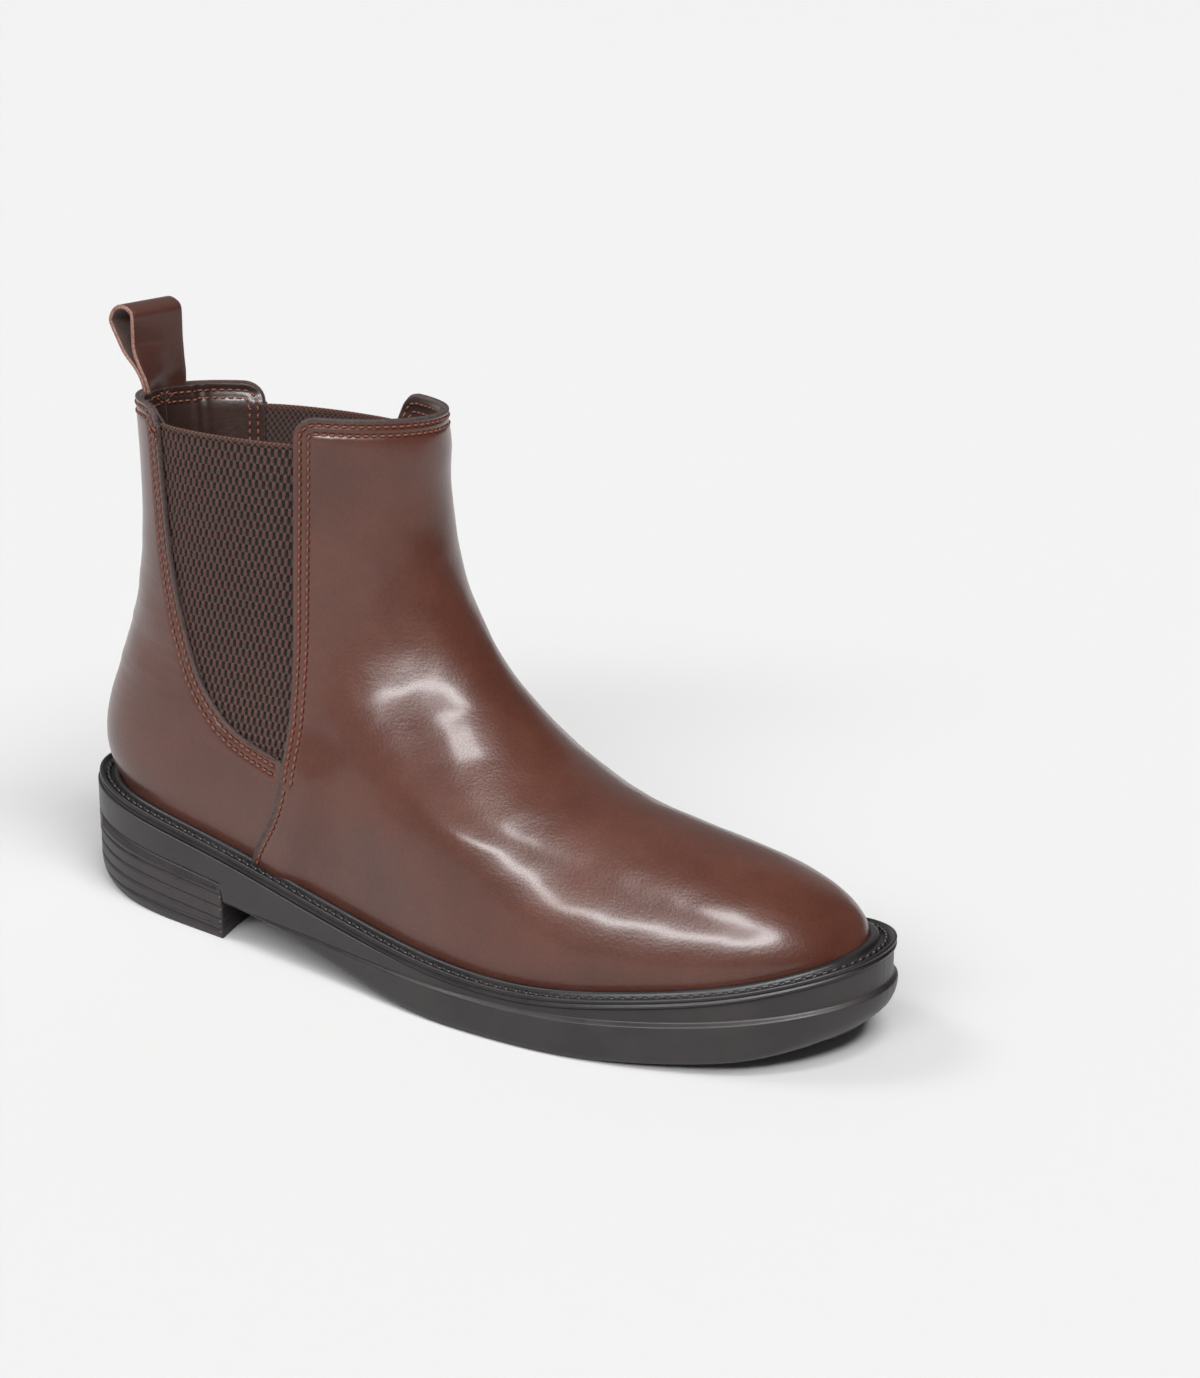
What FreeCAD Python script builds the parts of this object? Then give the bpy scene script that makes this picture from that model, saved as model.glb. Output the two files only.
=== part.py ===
import FreeCAD, Part
import math
import os

# A chelsea boot for the right foot, in millimetres: +X to the toe, +Y to the medial side, +Z up.
# Everything is drawn in last coordinates (x = 0 at the back of the heel, y = 0 on the heel's
# centre line, z = 0 on the last's base line, which leans a little against the ground). At the end
# the boot is turned to stand on the ground and moved to the middle of its own footprint.

V = FreeCAD.Vector
FAR = 400.0               # beyond every surface

# ---------------------------------------------------------------- driving dimensions
BOOT_LENGTH = 300.0       # outsole, heel to toe
BALL_WIDTH = 88.0         # upper, across the ball of the foot
COLLAR_WIDTH = 75.0       # upper, across the top of the shaft
SHAFT_HEIGHT = 185.0      # base line to the front of the collar, lateral side
HEEL_SEAT = 43.5          # base line to the feather edge at the heel
BALL_SEAT = 14.5          # base line to the feather edge at the ball
TOE_SEAT = 26.0           # base line to the feather edge at the toe
PITCH = 2.7               # the base line against the ground, in degrees
GROUND_BACK = 5.2         # ground above the base line at x = 0

LEATHER = 1.6             # vamp and quarters
LINING = 0.9              # calf lining
ELASTIC = 1.1             # gusset webbing
STIFFENER = 0.9           # toe puff and heel counter
LAYER_GAP = 0.3           # glue line between two layers of the upper
SEAM_GAP = 0.35           # between two edges that meet
TUCK = 7.0                # how far the elastic reaches under the leather

WELT = 3.4                # thickness of the welt
WELT_IN = 7.0             # how far the welt reaches in under the upper
MARGIN = 6.0              # how far the sole stands out from the upper at the side
END_MARGIN = 10.5         # how far it stands out at the toe and the back of the heel
SOLE_GAP = 0.1            # between two layers of the sole
INSOLE = 2.2              # insole board
SOCK = 2.0                # sock liner
HEEL_LENGTH = 74.0        # back of the heel to the breast
HEEL_BREAST = 13.0        # height of the breast
TOP_PIECE = 5.0           # the heel's wearing layer
SHANK_LENGTH = 95.0
SHANK_WIDTH = 14.0
SHANK = 1.6

FLEX_ANGLE = 30.0         # how far it bends
FLEX_SPARE = 3.0          # room left beyond that, in degrees
SHAFT_SPLIT = 95.0        # height of the Achilles bend
SEAM_LAP = 8.0            # how far the quarters reach under the vamp at the side seam
GUSSET_DIP = 10.0         # how much lower the elastic's top edge is than the front of the collar
QUARTER_DIP = 3.0         # how much lower the back of the collar is
COLLAR_TILT = 4.5         # the collar falls to the medial side, in degrees
CORNER = 8.0              # rounding of the vamp's top corners
LINING_DROP = 0.8         # how much lower the lining's top edge is than the leather's
TOE_SPRING = 9.0          # ground to the sole's underside at the toe
HEEL_INSET = 0.8          # heel block, in from the outsole's edge
WELT_INSET = 0.6          # welt, in from the outsole's edge
LOOP_WIDTH = 25.0
LOOP_STRAP = 1.8
LOOP_HEIGHT = 27.0        # above its pivot
LOOP_DEPTH = 14.0
LOOP_TWIST = 16.0         # degrees about the vertical
LOOP_LEAN = 18.0          # degrees back from upright
LOOP_STITCH = 7.0         # from its pivot to where the strap's two ends part
LOOP_TAIL = 16.0          # how far the sewn ends reach down behind the lining

# ---------------------------------------------------------------- the last's curves
LAST_LENGTH = 300.0       # the size that the curves below are drawn at
LAST_WIDTH = 88.0
LAST_COLLAR = 75.0
LAST_RISE = 159.0         # toe feather edge to the front of the collar

KX = BOOT_LENGTH / LAST_LENGTH
FLEX_X = KX * 205         # where the forepart bends, at the ball of the foot
KW = BALL_WIDTH / LAST_WIDTH
KC = COLLAR_WIDTH / LAST_COLLAR
KZ = (SHAFT_HEIGHT - TOE_SEAT) / LAST_RISE


def spline(points):
    """Natural cubic through (s, value) points, carried on straight past both ends."""
    xs = [p[0] for p in points]
    ys = [p[1] for p in points]
    n = len(xs)
    h = [xs[i + 1] - xs[i] for i in range(n - 1)]
    diag = [1.0] * n
    rhs = [0.0] * n
    upper = [0.0] * n
    for i in range(1, n - 1):
        diag[i] = 2 * (h[i - 1] + h[i])
        upper[i] = h[i]
        rhs[i] = 6 * ((ys[i + 1] - ys[i]) / h[i] - (ys[i] - ys[i - 1]) / h[i - 1])
    for i in range(1, n - 1):
        lower = h[i - 1] if i > 1 else 0.0
        k = lower / diag[i - 1]
        diag[i] -= k * upper[i - 1]
        rhs[i] -= k * rhs[i - 1]
    bend = [0.0] * n
    for i in range(n - 2, 0, -1):
        bend[i] = (rhs[i] - upper[i] * bend[i + 1]) / diag[i]

    def value(x):
        if x <= xs[0]:
            slope = (ys[1] - ys[0]) / h[0] - h[0] * bend[1] / 6
            return ys[0] + slope * (x - xs[0])
        if x >= xs[-1]:
            slope = (ys[-1] - ys[-2]) / h[-1] + h[-1] * bend[-2] / 6
            return ys[-1] + slope * (x - xs[-1])
        i = 0
        while xs[i + 1] < x:
            i += 1
        a = xs[i + 1] - x
        b = x - xs[i]
        cubic = (bend[i] * a ** 3 + bend[i + 1] * b ** 3) / (6 * h[i])
        left = (ys[i] / h[i] - bend[i] * h[i] / 6) * a
        right = (ys[i + 1] / h[i] - bend[i + 1] * h[i] / 6) * b
        return cubic + left + right

    return value


def ease(low, high, x):
    """Smooth step from 0 at low to 1 at high."""
    t = min(1.0, max(0.0, (x - low) / (high - low)))
    return t * t * (3 - 2 * t)


def crown(q, power):
    """0 at q = 0, rounding up to 1 at q = 1."""
    return 1 - (1 - min(1.0, max(0.0, q))) ** power


# side profile: (height above the seat, x)
RIDGE = [(0, 288), (6, 284), (12, 278), (19, 267), (25, 253), (37, 214.5), (45, 193), (55, 177), (67, 163),
         (81, 152), (96, 144.5), (112, 140), (132, 137), (162, 137)]
BACK = [(0, 11), (8, 7), (17, 5.7), (29, 8), (43, 13), (57, 18), (72, 22), (95, 25), (139, 25)]
# plan: (x, feather height), (x, centre line), (x, half width); shaft: (height, half width)
FEATHER = [(11, HEEL_SEAT), (40, HEEL_SEAT - 4.5), (84, HEEL_SEAT - 12.7), (120, BALL_SEAT + 8.8),
           (160, BALL_SEAT + 2.6), (200, BALL_SEAT), (230, TOE_SEAT - 9.2), (260, TOE_SEAT - 5.6), (288, TOE_SEAT)]
CENTRE = [(9, 0), (60, -0.5), (100, -4), (140, -7), (180, -8), (220, -5.5), (250, 0), (290, 6)]
HALF = [(9, 34), (50, 33.5), (80, 33.7), (105, 35), (130, 37.5), (160, 42), (190, 44), (215, 44), (240, 43),
        (265, 42), (290, 40.5)]
SHAFT = [(0, 31), (50, 31.5), (80, 33), (110, 35), (150, 37.5)]
# edges in side view: (height above the heel seat, x)
VAMP_SEAM = [(-14, 84), (-8, 86.5), (2, 92.5), (14, 97.5), (22, 98.5), (60, 100), (131, 103.5)]
GUSSET_REAR = [(24, 98), (29, 81), (35, 71), (43, 64), (58, 57.5), (80, 52), (105, 49.5), (132, 49)]

ridge = spline([(TOE_SEAT + KZ * h, KX * x) for h, x in RIDGE])
back = spline([(HEEL_SEAT + KZ * h, KX * x) for h, x in BACK])
feather = spline([(KX * x, z) for x, z in FEATHER])
centre = spline([(KX * x, KW * y) for x, y in CENTRE])
half = spline([(KX * x, KW * w) for x, w in HALF])
shaft = spline([(HEEL_SEAT + KZ * h, KC * w) for h, w in SHAFT])

RIDGE_TOP = TOE_SEAT + KZ * RIDGE[-1][0]
BACK_TOP = HEEL_SEAT + KZ * BACK[-1][0]
TOE_TIP = ridge(TOE_SEAT)
HEEL_TIP = back(HEEL_SEAT)
ANKLE_LOW = HEEL_SEAT + KZ * 2
ANKLE_HIGH = HEEL_SEAT + KZ * 72
INSTEP_X = KX * 150       # behind it the front rounds like a shaft
VAMP_X = KX * 215         # ahead of it the top rounds like a foot
TOE_ROUND = KX * 22       # length over which the toe rounds off in plan
HEEL_ROUND = KX * 20      # the same at the heel
SHAFT_ROUND = KX * 62     # the same up the shaft, front and back
FEATHER_PINCH = 0.03      # share by which the upper is drawn in at the feather edge
PINCH_HEIGHT = 5.0        # how fast that fades upwards


def spread(count, low=0.0, high=1.0):
    return [low + (high - low) * i / (count - 1) for i in range(count)]


def profile_points(curve, low, high, count=400):
    """Points up a profile with the length run at each."""
    points = [(curve(v), v) for v in spread(count + 1, low, high)]
    run = [0.0]
    for p, q in zip(points, points[1:]):
        run.append(run[-1] + math.hypot(q[0] - p[0], q[1] - p[1]))
    return points, run


RIDGE_LINE = profile_points(ridge, TOE_SEAT, RIDGE_TOP)
BACK_LINE = profile_points(back, HEEL_SEAT, BACK_TOP)


def between(xs, ys, x):
    """Straight-line interpolation in a rising list."""
    low = 0
    high = len(xs) - 1
    while high - low > 1:
        mid = (low + high) // 2
        if xs[mid] <= x:
            low = mid
        else:
            high = mid
    k = (x - xs[low]) / (xs[high] - xs[low])
    return ys[low] + (ys[high] - ys[low]) * k


def along(line, t):
    points, run = line
    s = t * run[-1]
    return between(run, [p[0] for p in points], s), between(run, [p[1] for p in points], s)


INSTEP_LINE = sorted(p for p in RIDGE_LINE[0] if p[0] > KX * 141)
INSTEP_XS = [p[0] for p in INSTEP_LINE]
INSTEP_ZS = [p[1] for p in INSTEP_LINE]


def ridge_height(x):
    """Height of the instep line over x, forward of the shaft."""
    return between(INSTEP_XS, INSTEP_ZS, min(x, TOE_TIP))


def half_width(x, z):
    """Half the upper's width at a point of its side view."""
    up = ease(ANKLE_LOW, ANKLE_HIGH, z)
    width = half(x) * (1 - up) + shaft(z) * up
    width *= 1 - FEATHER_PINCH * math.exp(-max(0.0, z - feather(x)) / PINCH_HEIGHT)
    toe = 1 - math.exp(-max(0.0, TOE_TIP - x) / TOE_ROUND)
    behind = back(z) if z > HEEL_SEAT else HEEL_TIP
    eta = max(0.0, x - behind)
    heel = (1 - up) * (1 - math.exp(-eta / HEEL_ROUND)) + up * crown(eta / SHAFT_ROUND, 3)
    to_shaft = ease(VAMP_X, INSTEP_X, x)
    over = 1.0
    if x > INSTEP_XS[0]:
        top = ridge_height(x)
        over = crown((top - z) / max(0.5, top - feather(x)), 2.3)
    front = crown((ridge(z) - x) / SHAFT_ROUND, 2.6)
    return width * math.sqrt(max(0.0, toe * heel * ((1 - to_shaft) * over + to_shaft * front)))


def side_point(phi, t):
    """Side view of the surface point at angle phi round the boot and share t of the way up."""
    xi = (1 - math.cos(phi)) / 2
    xr, zr = along(RIDGE_LINE, t)
    xb, zb = along(BACK_LINE, t)
    x = xr + (xb - xr) * xi
    z = zr + (zb - zr) * xi
    x0 = TOE_TIP + (HEEL_TIP - TOE_TIP) * xi
    z0 = TOE_SEAT + (HEEL_SEAT - TOE_SEAT) * xi
    return x, z + (feather(x0) - z0) * (1 - t) ** 3


def surface(phi, t):
    """Outside of the upper: phi 0 at the front, pi at the back, negative on the lateral side."""
    x, z = side_point(phi, t)
    y = half_width(x, z)
    if math.sin(phi) < 0:
        y = -y
    return V(x, y + centre(x) * (1 - ease(ANKLE_LOW, ANKLE_HIGH, z)), z)


def normal(phi, t):
    """Unit normal of the surface, pointing out of the boot."""
    d = 0.004
    low = max(0.0, t - d)
    high = min(1.0, t + d)
    across = surface(phi + d, t) - surface(phi - d, t)
    up = surface(phi, high) - surface(phi, low)
    n = across.cross(up)
    n.normalize()
    return n


# ---------------------------------------------------------------- the panels' edges, in side view
VAMP_EDGE = spline([(HEEL_SEAT + KZ * h, KX * x) for h, x in VAMP_SEAM])
GUSSET_LOW = HEEL_SEAT + KZ * GUSSET_REAR[0][0]
GUSSET_TOP = SHAFT_HEIGHT - GUSSET_DIP
QUARTER_TOP = SHAFT_HEIGHT - QUARTER_DIP
GUSSET_TOP_X = KX * GUSSET_REAR[-1][1]


def phi_at(edge, t):
    """The angle, 0 to pi, at which the line of height share t meets an edge given as x over z."""
    low = 0.02
    high = math.pi - 0.02
    for _ in range(40):
        mid = (low + high) / 2
        x, z = side_point(mid, t)
        if x > edge(z):
            low = mid
        else:
            high = mid
    return (low + high) / 2


def turn(phi, t, distance):
    """How much phi changes over a distance round the boot."""
    step = surface(phi + 0.01, t) - surface(phi - 0.01, t)
    return 0.02 * distance / step.Length


# ---------------------------------------------------------------- solids
def sheet(point, us, vs):
    """B-spline surface through point(u, v)."""
    surf = Part.BSplineSurface()
    surf.interpolate([[point(u, v) for v in vs] for u in us])
    return surf


def rim_face(one, two, along_u, end):
    """Ruled face between the same edge of two sheets."""
    edges = []
    for surf in (one, two):
        low_u, high_u, low_v, high_v = surf.bounds()
        if along_u:
            edges.append(surf.vIso(high_v if end else low_v).toShape())
        else:
            edges.append(surf.uIso(high_u if end else low_u).toShape())
    return Part.makeRuledSurface(edges[0], edges[1])


def layer(place, outer, thickness, us, vs):
    """Solid layer of the upper.  place(u, v) gives (phi, t, lift); outer is its outside's depth."""
    sheets = []
    for depth in (outer, outer + thickness):
        def point(u, v, depth=depth):
            phi, t, lift = place(u, v)
            return surface(phi, t) + normal(phi, t) * (lift - depth)
        sheets.append(sheet(point, us, vs))
    faces = [sheets[0].toShape(), sheets[1].toShape()]
    for along_u in (True, False):
        for end in (False, True):
            faces.append(rim_face(sheets[0], sheets[1], along_u, end))
    shell = Part.makeShell(faces)
    shell.sewShape()
    solid = Part.makeSolid(shell)
    if solid.Volume < 0:
        solid.reverse()
    return solid


def side_prism(points, y_low=-FAR, y_high=FAR):
    """Solid of a straight-edged side-view outline."""
    loop = [V(x, y_low, z) for x, z in points]
    face = Part.Face(Part.makePolygon(loop + [loop[0]]))
    return face.extrude(V(0, y_high - y_low, 0))


def band_prism(top, bottom, x_low, x_high, count=33):
    """Solid of the side view between two curves z(x)."""
    xs = spread(count, x_low, x_high)
    edges = []
    for curve in (top, bottom):
        line = Part.BSplineCurve()
        line.interpolate([V(x, -FAR, curve(x)) for x in xs])
        edges.append(line.toShape())
    for x in (xs[0], xs[-1]):
        edges.append(Part.makeLine(V(x, -FAR, bottom(x)), V(x, -FAR, top(x))))
    wire = Part.Wire(Part.__sortEdges__(edges))
    return Part.Face(wire).extrude(V(0, 2 * FAR, 0))


def plan_prism(side, end, count=60):
    """Upright solid whose outline stands out from the feather edge: side at the sides, end at the ends."""
    points = []
    for i in range(count):
        phi = -math.pi + 2 * math.pi * (i + 0.5) / count
        here = surface(phi, 0.0)
        edge = surface(phi + 0.02, 0.0) - surface(phi - 0.02, 0.0)
        out = V(edge.y, -edge.x, 0)
        out.normalize()
        stand = side + (end - side) * out.x ** 4
        points.append(V(here.x + out.x * stand, here.y + out.y * stand, -FAR))
    curve = Part.BSplineCurve()
    curve.interpolate(points, True)
    return Part.Face(Part.Wire([curve.toShape()])).extrude(V(0, 0, 2 * FAR))


# ---------------------------------------------------------------- how the forepart bends
FLEX_Z = feather(FLEX_X) + INSOLE + SOLE_GAP
HALF_WEDGE = math.tan(math.radians((FLEX_ANGLE + FLEX_SPARE) / 2))


def flex_half(sign):
    """All the space behind (-1) or ahead (+1) of the forepart's bend, which is a V above its axis."""
    x = FLEX_X + sign * SEAM_GAP / 2
    outer = FLEX_X + sign * 2 * FAR
    return side_prism([(x, -FAR), (x, FLEX_Z), (x + sign * HALF_WEDGE * FAR, FLEX_Z + FAR),
                       (outer, FLEX_Z + FAR), (outer, -FAR)])


def flex_wedge():
    """The V between the two halves, where the vamp creases."""
    low = FLEX_Z + 2 * SEAM_GAP
    lean = HALF_WEDGE * FAR - SEAM_GAP
    return side_prism([(FLEX_X - 0.05, low), (FLEX_X + 0.05, low), (FLEX_X + lean, FLEX_Z + FAR),
                       (FLEX_X - lean, FLEX_Z + FAR)])


# ---------------------------------------------------------------- regions that trim the upper
def gusset_line(grow, forward):
    """Side-view outline of the gusset, grown by a distance, and further in front, from the top round."""
    low = GUSSET_LOW - grow
    high = 2 * SHAFT_HEIGHT
    front = []
    for z in spread(9, high, low):
        front.append((VAMP_EDGE(min(z, SHAFT_HEIGHT)) + grow + forward, z))
    rear = []
    for i, (h, x) in enumerate(GUSSET_REAR):
        rise = 1 - ease(0, 4, i)
        rear.append((KX * x - grow * (1 - rise), HEEL_SEAT + KZ * h - grow * rise))
    rear.append((rear[-1][0], high))
    return front, rear


def gusset_prism(grow, forward=0.0):
    front, rear = gusset_line(grow, forward)
    curves = []
    for points in (front, rear[:-1]):
        line = Part.BSplineCurve()
        line.interpolate([V(x, -FAR, z) for x, z in points])
        curves.append(line.toShape())
    corner = [V(front[-1][0], -FAR, front[-1][1]), V(rear[0][0], -FAR, rear[0][1])]
    tops = [V(x, -FAR, z) for x, z in (rear[-2], rear[-1], front[0])]
    curves.append(Part.makeLine(corner[0], corner[1]))
    curves.append(Part.makeLine(tops[0], tops[1]))
    curves.append(Part.makeLine(tops[1], tops[2]))
    wire = Part.Wire(Part.__sortEdges__(curves))
    return Part.Face(wire).extrude(V(0, 2 * FAR, 0))


def under(height):
    """All the space below a level."""
    return side_prism([(-FAR, -FAR), (2 * FAR, -FAR), (2 * FAR, height), (-FAR, height)])


def over(height):
    return side_prism([(-FAR, height), (2 * FAR, height), (2 * FAR, 2 * FAR), (-FAR, 2 * FAR)])


def tilt(region):
    """Leans a region under the collar down to the medial side."""
    region.rotate(V(0, -COLLAR_WIDTH / 2, SHAFT_HEIGHT), V(1, 0, 0), -COLLAR_TILT)
    return region


def collar_height(top, y):
    """Height of a collar line given at the lateral side."""
    return top - (y + COLLAR_WIDTH / 2) * math.tan(math.radians(COLLAR_TILT))


def quarter_region(drop):
    """Below the quarters' top edge, which steps down beside the gusset."""
    step = GUSSET_TOP_X - 2
    top = QUARTER_TOP - drop
    low = GUSSET_TOP - drop
    dip = top - low
    slope = [(step, low), (step - 0.3 * dip, low + 0.1 * dip), (step - 0.8 * dip, top - 0.1 * dip)]
    below = [(-FAR, -FAR), (FAR, -FAR), (FAR, low)]
    return tilt(side_prism(below + slope + [(step - 1.1 * dip, top), (-FAR, top)]))


def vamp_region(drop):
    """Below the vamp's top edge, with its rounded corners beside the gussets."""
    top = SHAFT_HEIGHT - drop
    corner = KX * VAMP_SEAM[-1][1]
    rounded = []
    for angle in spread(5, 90, 0):
        a = math.radians(angle)
        rounded.append((corner + CORNER * (1 - math.sin(a)), top - CORNER * (1 - math.cos(a))))
    outline = [(-FAR, -FAR), (2 * FAR, -FAR), (2 * FAR, top), *rounded[::-1], (-FAR, top - CORNER)]
    return tilt(side_prism(outline))


# ---------------------------------------------------------------- upper
SECOND = LEATHER + LAYER_GAP                                # depth of elastic and stiffeners
THIRD = SECOND + max(ELASTIC, STIFFENER) + LAYER_GAP        # depth of the lining
INSIDE = THIRD + LINING + LAYER_GAP                         # depth of what lies inside the lining


def vamp_place(lifted):
    """The vamp and its lining, from the lateral seam round the toe and instep to the medial one."""
    def place(u, v):
        seam = phi_at(VAMP_EDGE, v)
        edge = seam - turn(seam, v, SEAM_GAP / 2)
        if not lifted:
            return (2 * u - 1) * edge, v, 0.0
        z = side_point(edge, v)[1]
        low = 1 - ease(GUSSET_LOW - 5, GUSSET_LOW + 16, z)
        from_edge = (1 - abs(2 * u - 1)) * edge / turn(edge, v, 1.0)
        return (2 * u - 1) * edge, v, SECOND * low * (1 - ease(SEAM_LAP + 2, SEAM_LAP + 18, from_edge))
    return place


def quarter_place(sign, lap):
    """A quarter or its lining, from lap ahead of the side seam to the back seam."""
    def place(u, v):
        seam = phi_at(VAMP_EDGE, v)
        front = seam + turn(seam, v, -lap if lap else SEAM_GAP / 2)
        rear = math.pi - turn(math.pi, v, SEAM_GAP / 2)
        return sign * (rear + (front - rear) * u), v, 0.0
    return place


def gusset_place(sign):
    """Elastic webbing over the whole side of the shaft, before it is trimmed to shape."""
    def place(u, v):
        t = 0.12 + 0.88 * v
        front = phi_at(VAMP_EDGE, t)
        front -= turn(front, t, TUCK + 3)
        return sign * (front + (math.pi - 0.35 - front) * u), t, 0.0
    return place


def patch_place(middle, reach, low, high):
    """A patch either side of a middle angle."""
    def place(u, v):
        return middle + (2 * u - 1) * reach, low + (high - low) * v, 0.0
    return place


US = spread(41)
QUS = spread(17)
VS = spread(27)

above_feather = band_prism(lambda x: feather(x) + FAR, lambda x: feather(x) + SOLE_GAP, -20, BOOT_LENGTH + 20)
window = gusset_prism(0.0, 2 * SEAM_LAP)
webbing = gusset_prism(TUCK)
behind = flex_half(-1)
ahead = flex_half(1)
crease = flex_wedge()
shaft_above = over(SHAFT_SPLIT + SEAM_GAP / 2)
shaft_below = under(SHAFT_SPLIT - SEAM_GAP / 2)

parts = {}

vamp = layer(vamp_place(True), 0.0, LEATHER, US, VS).common(above_feather).common(vamp_region(0.0))
vamp_lining = layer(vamp_place(False), THIRD, LINING, US, VS).common(above_feather)
vamp_lining = vamp_lining.common(vamp_region(LINING_DROP))
parts["vamp_shaft"] = vamp.common(behind)
parts["vamp_toe"] = vamp.common(ahead)
parts["vamp_crease"] = vamp.common(crease)
parts["vamp_lining_shaft"] = vamp_lining.common(behind)
parts["vamp_lining_toe"] = vamp_lining.common(ahead)
parts["vamp_lining_crease"] = vamp_lining.common(crease)

for side, sign in (("lateral", -1), ("medial", 1)):
    leather = layer(quarter_place(sign, SEAM_LAP), 0.0, LEATHER, QUS, VS).common(above_feather)
    leather = leather.cut(window).common(quarter_region(0.0))
    lining = layer(quarter_place(sign, 0.0), THIRD, LINING, QUS, VS).common(above_feather)
    lining = lining.cut(window).common(quarter_region(LINING_DROP))
    parts["quarter_%s_heel" % side] = leather.common(shaft_below)
    parts["quarter_%s_shaft" % side] = leather.common(shaft_above)
    parts["quarter_lining_%s_heel" % side] = lining.common(shaft_below)
    parts["quarter_lining_%s_shaft" % side] = lining.common(shaft_above)
    elastic = layer(gusset_place(sign), SECOND, ELASTIC, QUS, VS)
    parts["gusset_%s" % side] = elastic.common(webbing).common(tilt(under(GUSSET_TOP)))

STIFFENER_REACH = 0.8      # half angle that each stiffener spans
toe_patch = patch_place(0.0, STIFFENER_REACH, 0.01, 0.17)
heel_patch = patch_place(math.pi, STIFFENER_REACH, 0.02, 0.28)
PATCH_US = spread(25)
parts["toe_puff"] = layer(toe_patch, SECOND, STIFFENER, PATCH_US, QUS).common(above_feather)
parts["heel_counter"] = layer(heel_patch, SECOND, STIFFENER, PATCH_US, QUS).common(above_feather)

# ---------------------------------------------------------------- sole
SOLE_TOP = WELT + SOLE_GAP                  # below the feather edge
HEEL_X = HEEL_LENGTH
BALL_X = KX * 172                           # where the waist comes down to the ground
SPRING_X = KX * 205                         # where the toe starts to rise
SPRING_POWER = 1.6
BLOCK_TOP = HEEL_BREAST + 5.0               # underside of the outsole over the heel block
WIDE = plan_prism(MARGIN, END_MARGIN)


def ground(x, height=0.0):
    """A height above the ground, in last coordinates."""
    lean = math.radians(PITCH)
    return GROUND_BACK - x * math.tan(lean) + height / math.cos(lean)


def sole_bottom(x):
    """Underside of the outsole: the waist's arch, the ball's flat and the toe spring."""
    if x < BALL_X:
        s = (BALL_X - x) / (BALL_X - HEEL_X)
        return ground(x, HEEL_BREAST * s * s * (3 - 2 * s) if s < 1 else HEEL_BREAST)
    if x < SPRING_X:
        return ground(x)
    return ground(x, TOE_SPRING * ((x - SPRING_X) / (BOOT_LENGTH - SPRING_X)) ** SPRING_POWER)


def level_prism(x_low, x_high, low, high):
    """Solid between two heights above the ground."""
    corners = [(x_low, low), (x_high, low), (x_high, high), (x_low, high)]
    return side_prism([(x, ground(x, height)) for x, height in corners])


def below_feather(depth):
    return lambda x: feather(x) - depth


def sole_layer(outline, top, bottom):
    """A layer of the sole between two depths below the feather edge."""
    return outline.common(band_prism(below_feather(top), below_feather(bottom), -20, BOOT_LENGTH + 20))


waist_xs = spread(13, HEEL_X, BALL_X)
spring_xs = spread(9, SPRING_X, BOOT_LENGTH + 20)
REAR = -20.0                                # behind the heel
FRONT = BOOT_LENGTH + 20                    # beyond the toe
underside = [(x, sole_bottom(x)) for x in waist_xs + spring_xs]
seat = [(x, ground(x, BLOCK_TOP + SOLE_GAP)) for x in (REAR, HEEL_X)]
outsole = WIDE.common(band_prism(below_feather(SOLE_TOP), lambda x: -FAR, REAR, FRONT))
outsole = outsole.common(side_prism(underside + [(FRONT, FAR), (REAR, FAR)] + seat))
parts["outsole_waist"] = outsole.common(behind)
parts["outsole_forepart"] = outsole.common(ahead)

heel_plan = plan_prism(MARGIN - HEEL_INSET, END_MARGIN - HEEL_INSET)
breast = HEEL_X - SEAM_GAP
parts["heel_block"] = heel_plan.common(level_prism(REAR, breast, TOP_PIECE + SOLE_GAP, BLOCK_TOP))
parts["heel_top_piece"] = heel_plan.common(level_prism(REAR, breast, 0.0, TOP_PIECE))

inner = plan_prism(-WELT_IN, -WELT_IN)
welt = sole_layer(plan_prism(MARGIN - WELT_INSET, END_MARGIN - WELT_INSET), SOLE_GAP / 2, WELT).cut(inner)
parts["welt_heel"] = welt.common(behind)
parts["welt_forepart"] = welt.common(ahead)

filler = sole_layer(plan_prism(-WELT_IN - SEAM_GAP, -WELT_IN - SEAM_GAP), SOLE_GAP / 2, WELT)
shank_x = KX * 62
shank_y = centre(shank_x + SHANK_LENGTH / 2) - SHANK_WIDTH / 2
ROOM = 0.5                                  # round the shank
shank_box = Part.makeBox(SHANK_LENGTH, SHANK_WIDTH, 2 * FAR, V(shank_x, shank_y, -FAR))
shank_hole = Part.makeBox(SHANK_LENGTH + 2 * ROOM, SHANK_WIDTH + 2 * ROOM, 2 * FAR,
                          V(shank_x - ROOM, shank_y - ROOM, -FAR))
shank_bed = sole_layer(shank_hole, WELT - SHANK - 2 * SOLE_GAP, WELT + 1)
parts["steel_shank"] = sole_layer(shank_box, WELT - SHANK - SOLE_GAP, WELT - SOLE_GAP)
parts["cork_filler_heel"] = filler.cut(shank_bed).common(behind)
parts["cork_filler_forepart"] = filler.common(ahead)

board = sole_layer(plan_prism(-INSIDE, -INSIDE - 4.0), -INSOLE, -SOLE_GAP)
parts["insole_board_heel"] = board.common(behind)
parts["insole_board_forepart"] = board.common(ahead)
sock = sole_layer(plan_prism(-INSIDE - 0.5, -INSIDE - 7.0), -INSOLE - SOCK, -INSOLE - SOLE_GAP)
parts["sock_liner_heel"] = sock.common(behind)
parts["sock_liner_forepart"] = sock.common(ahead)

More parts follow.
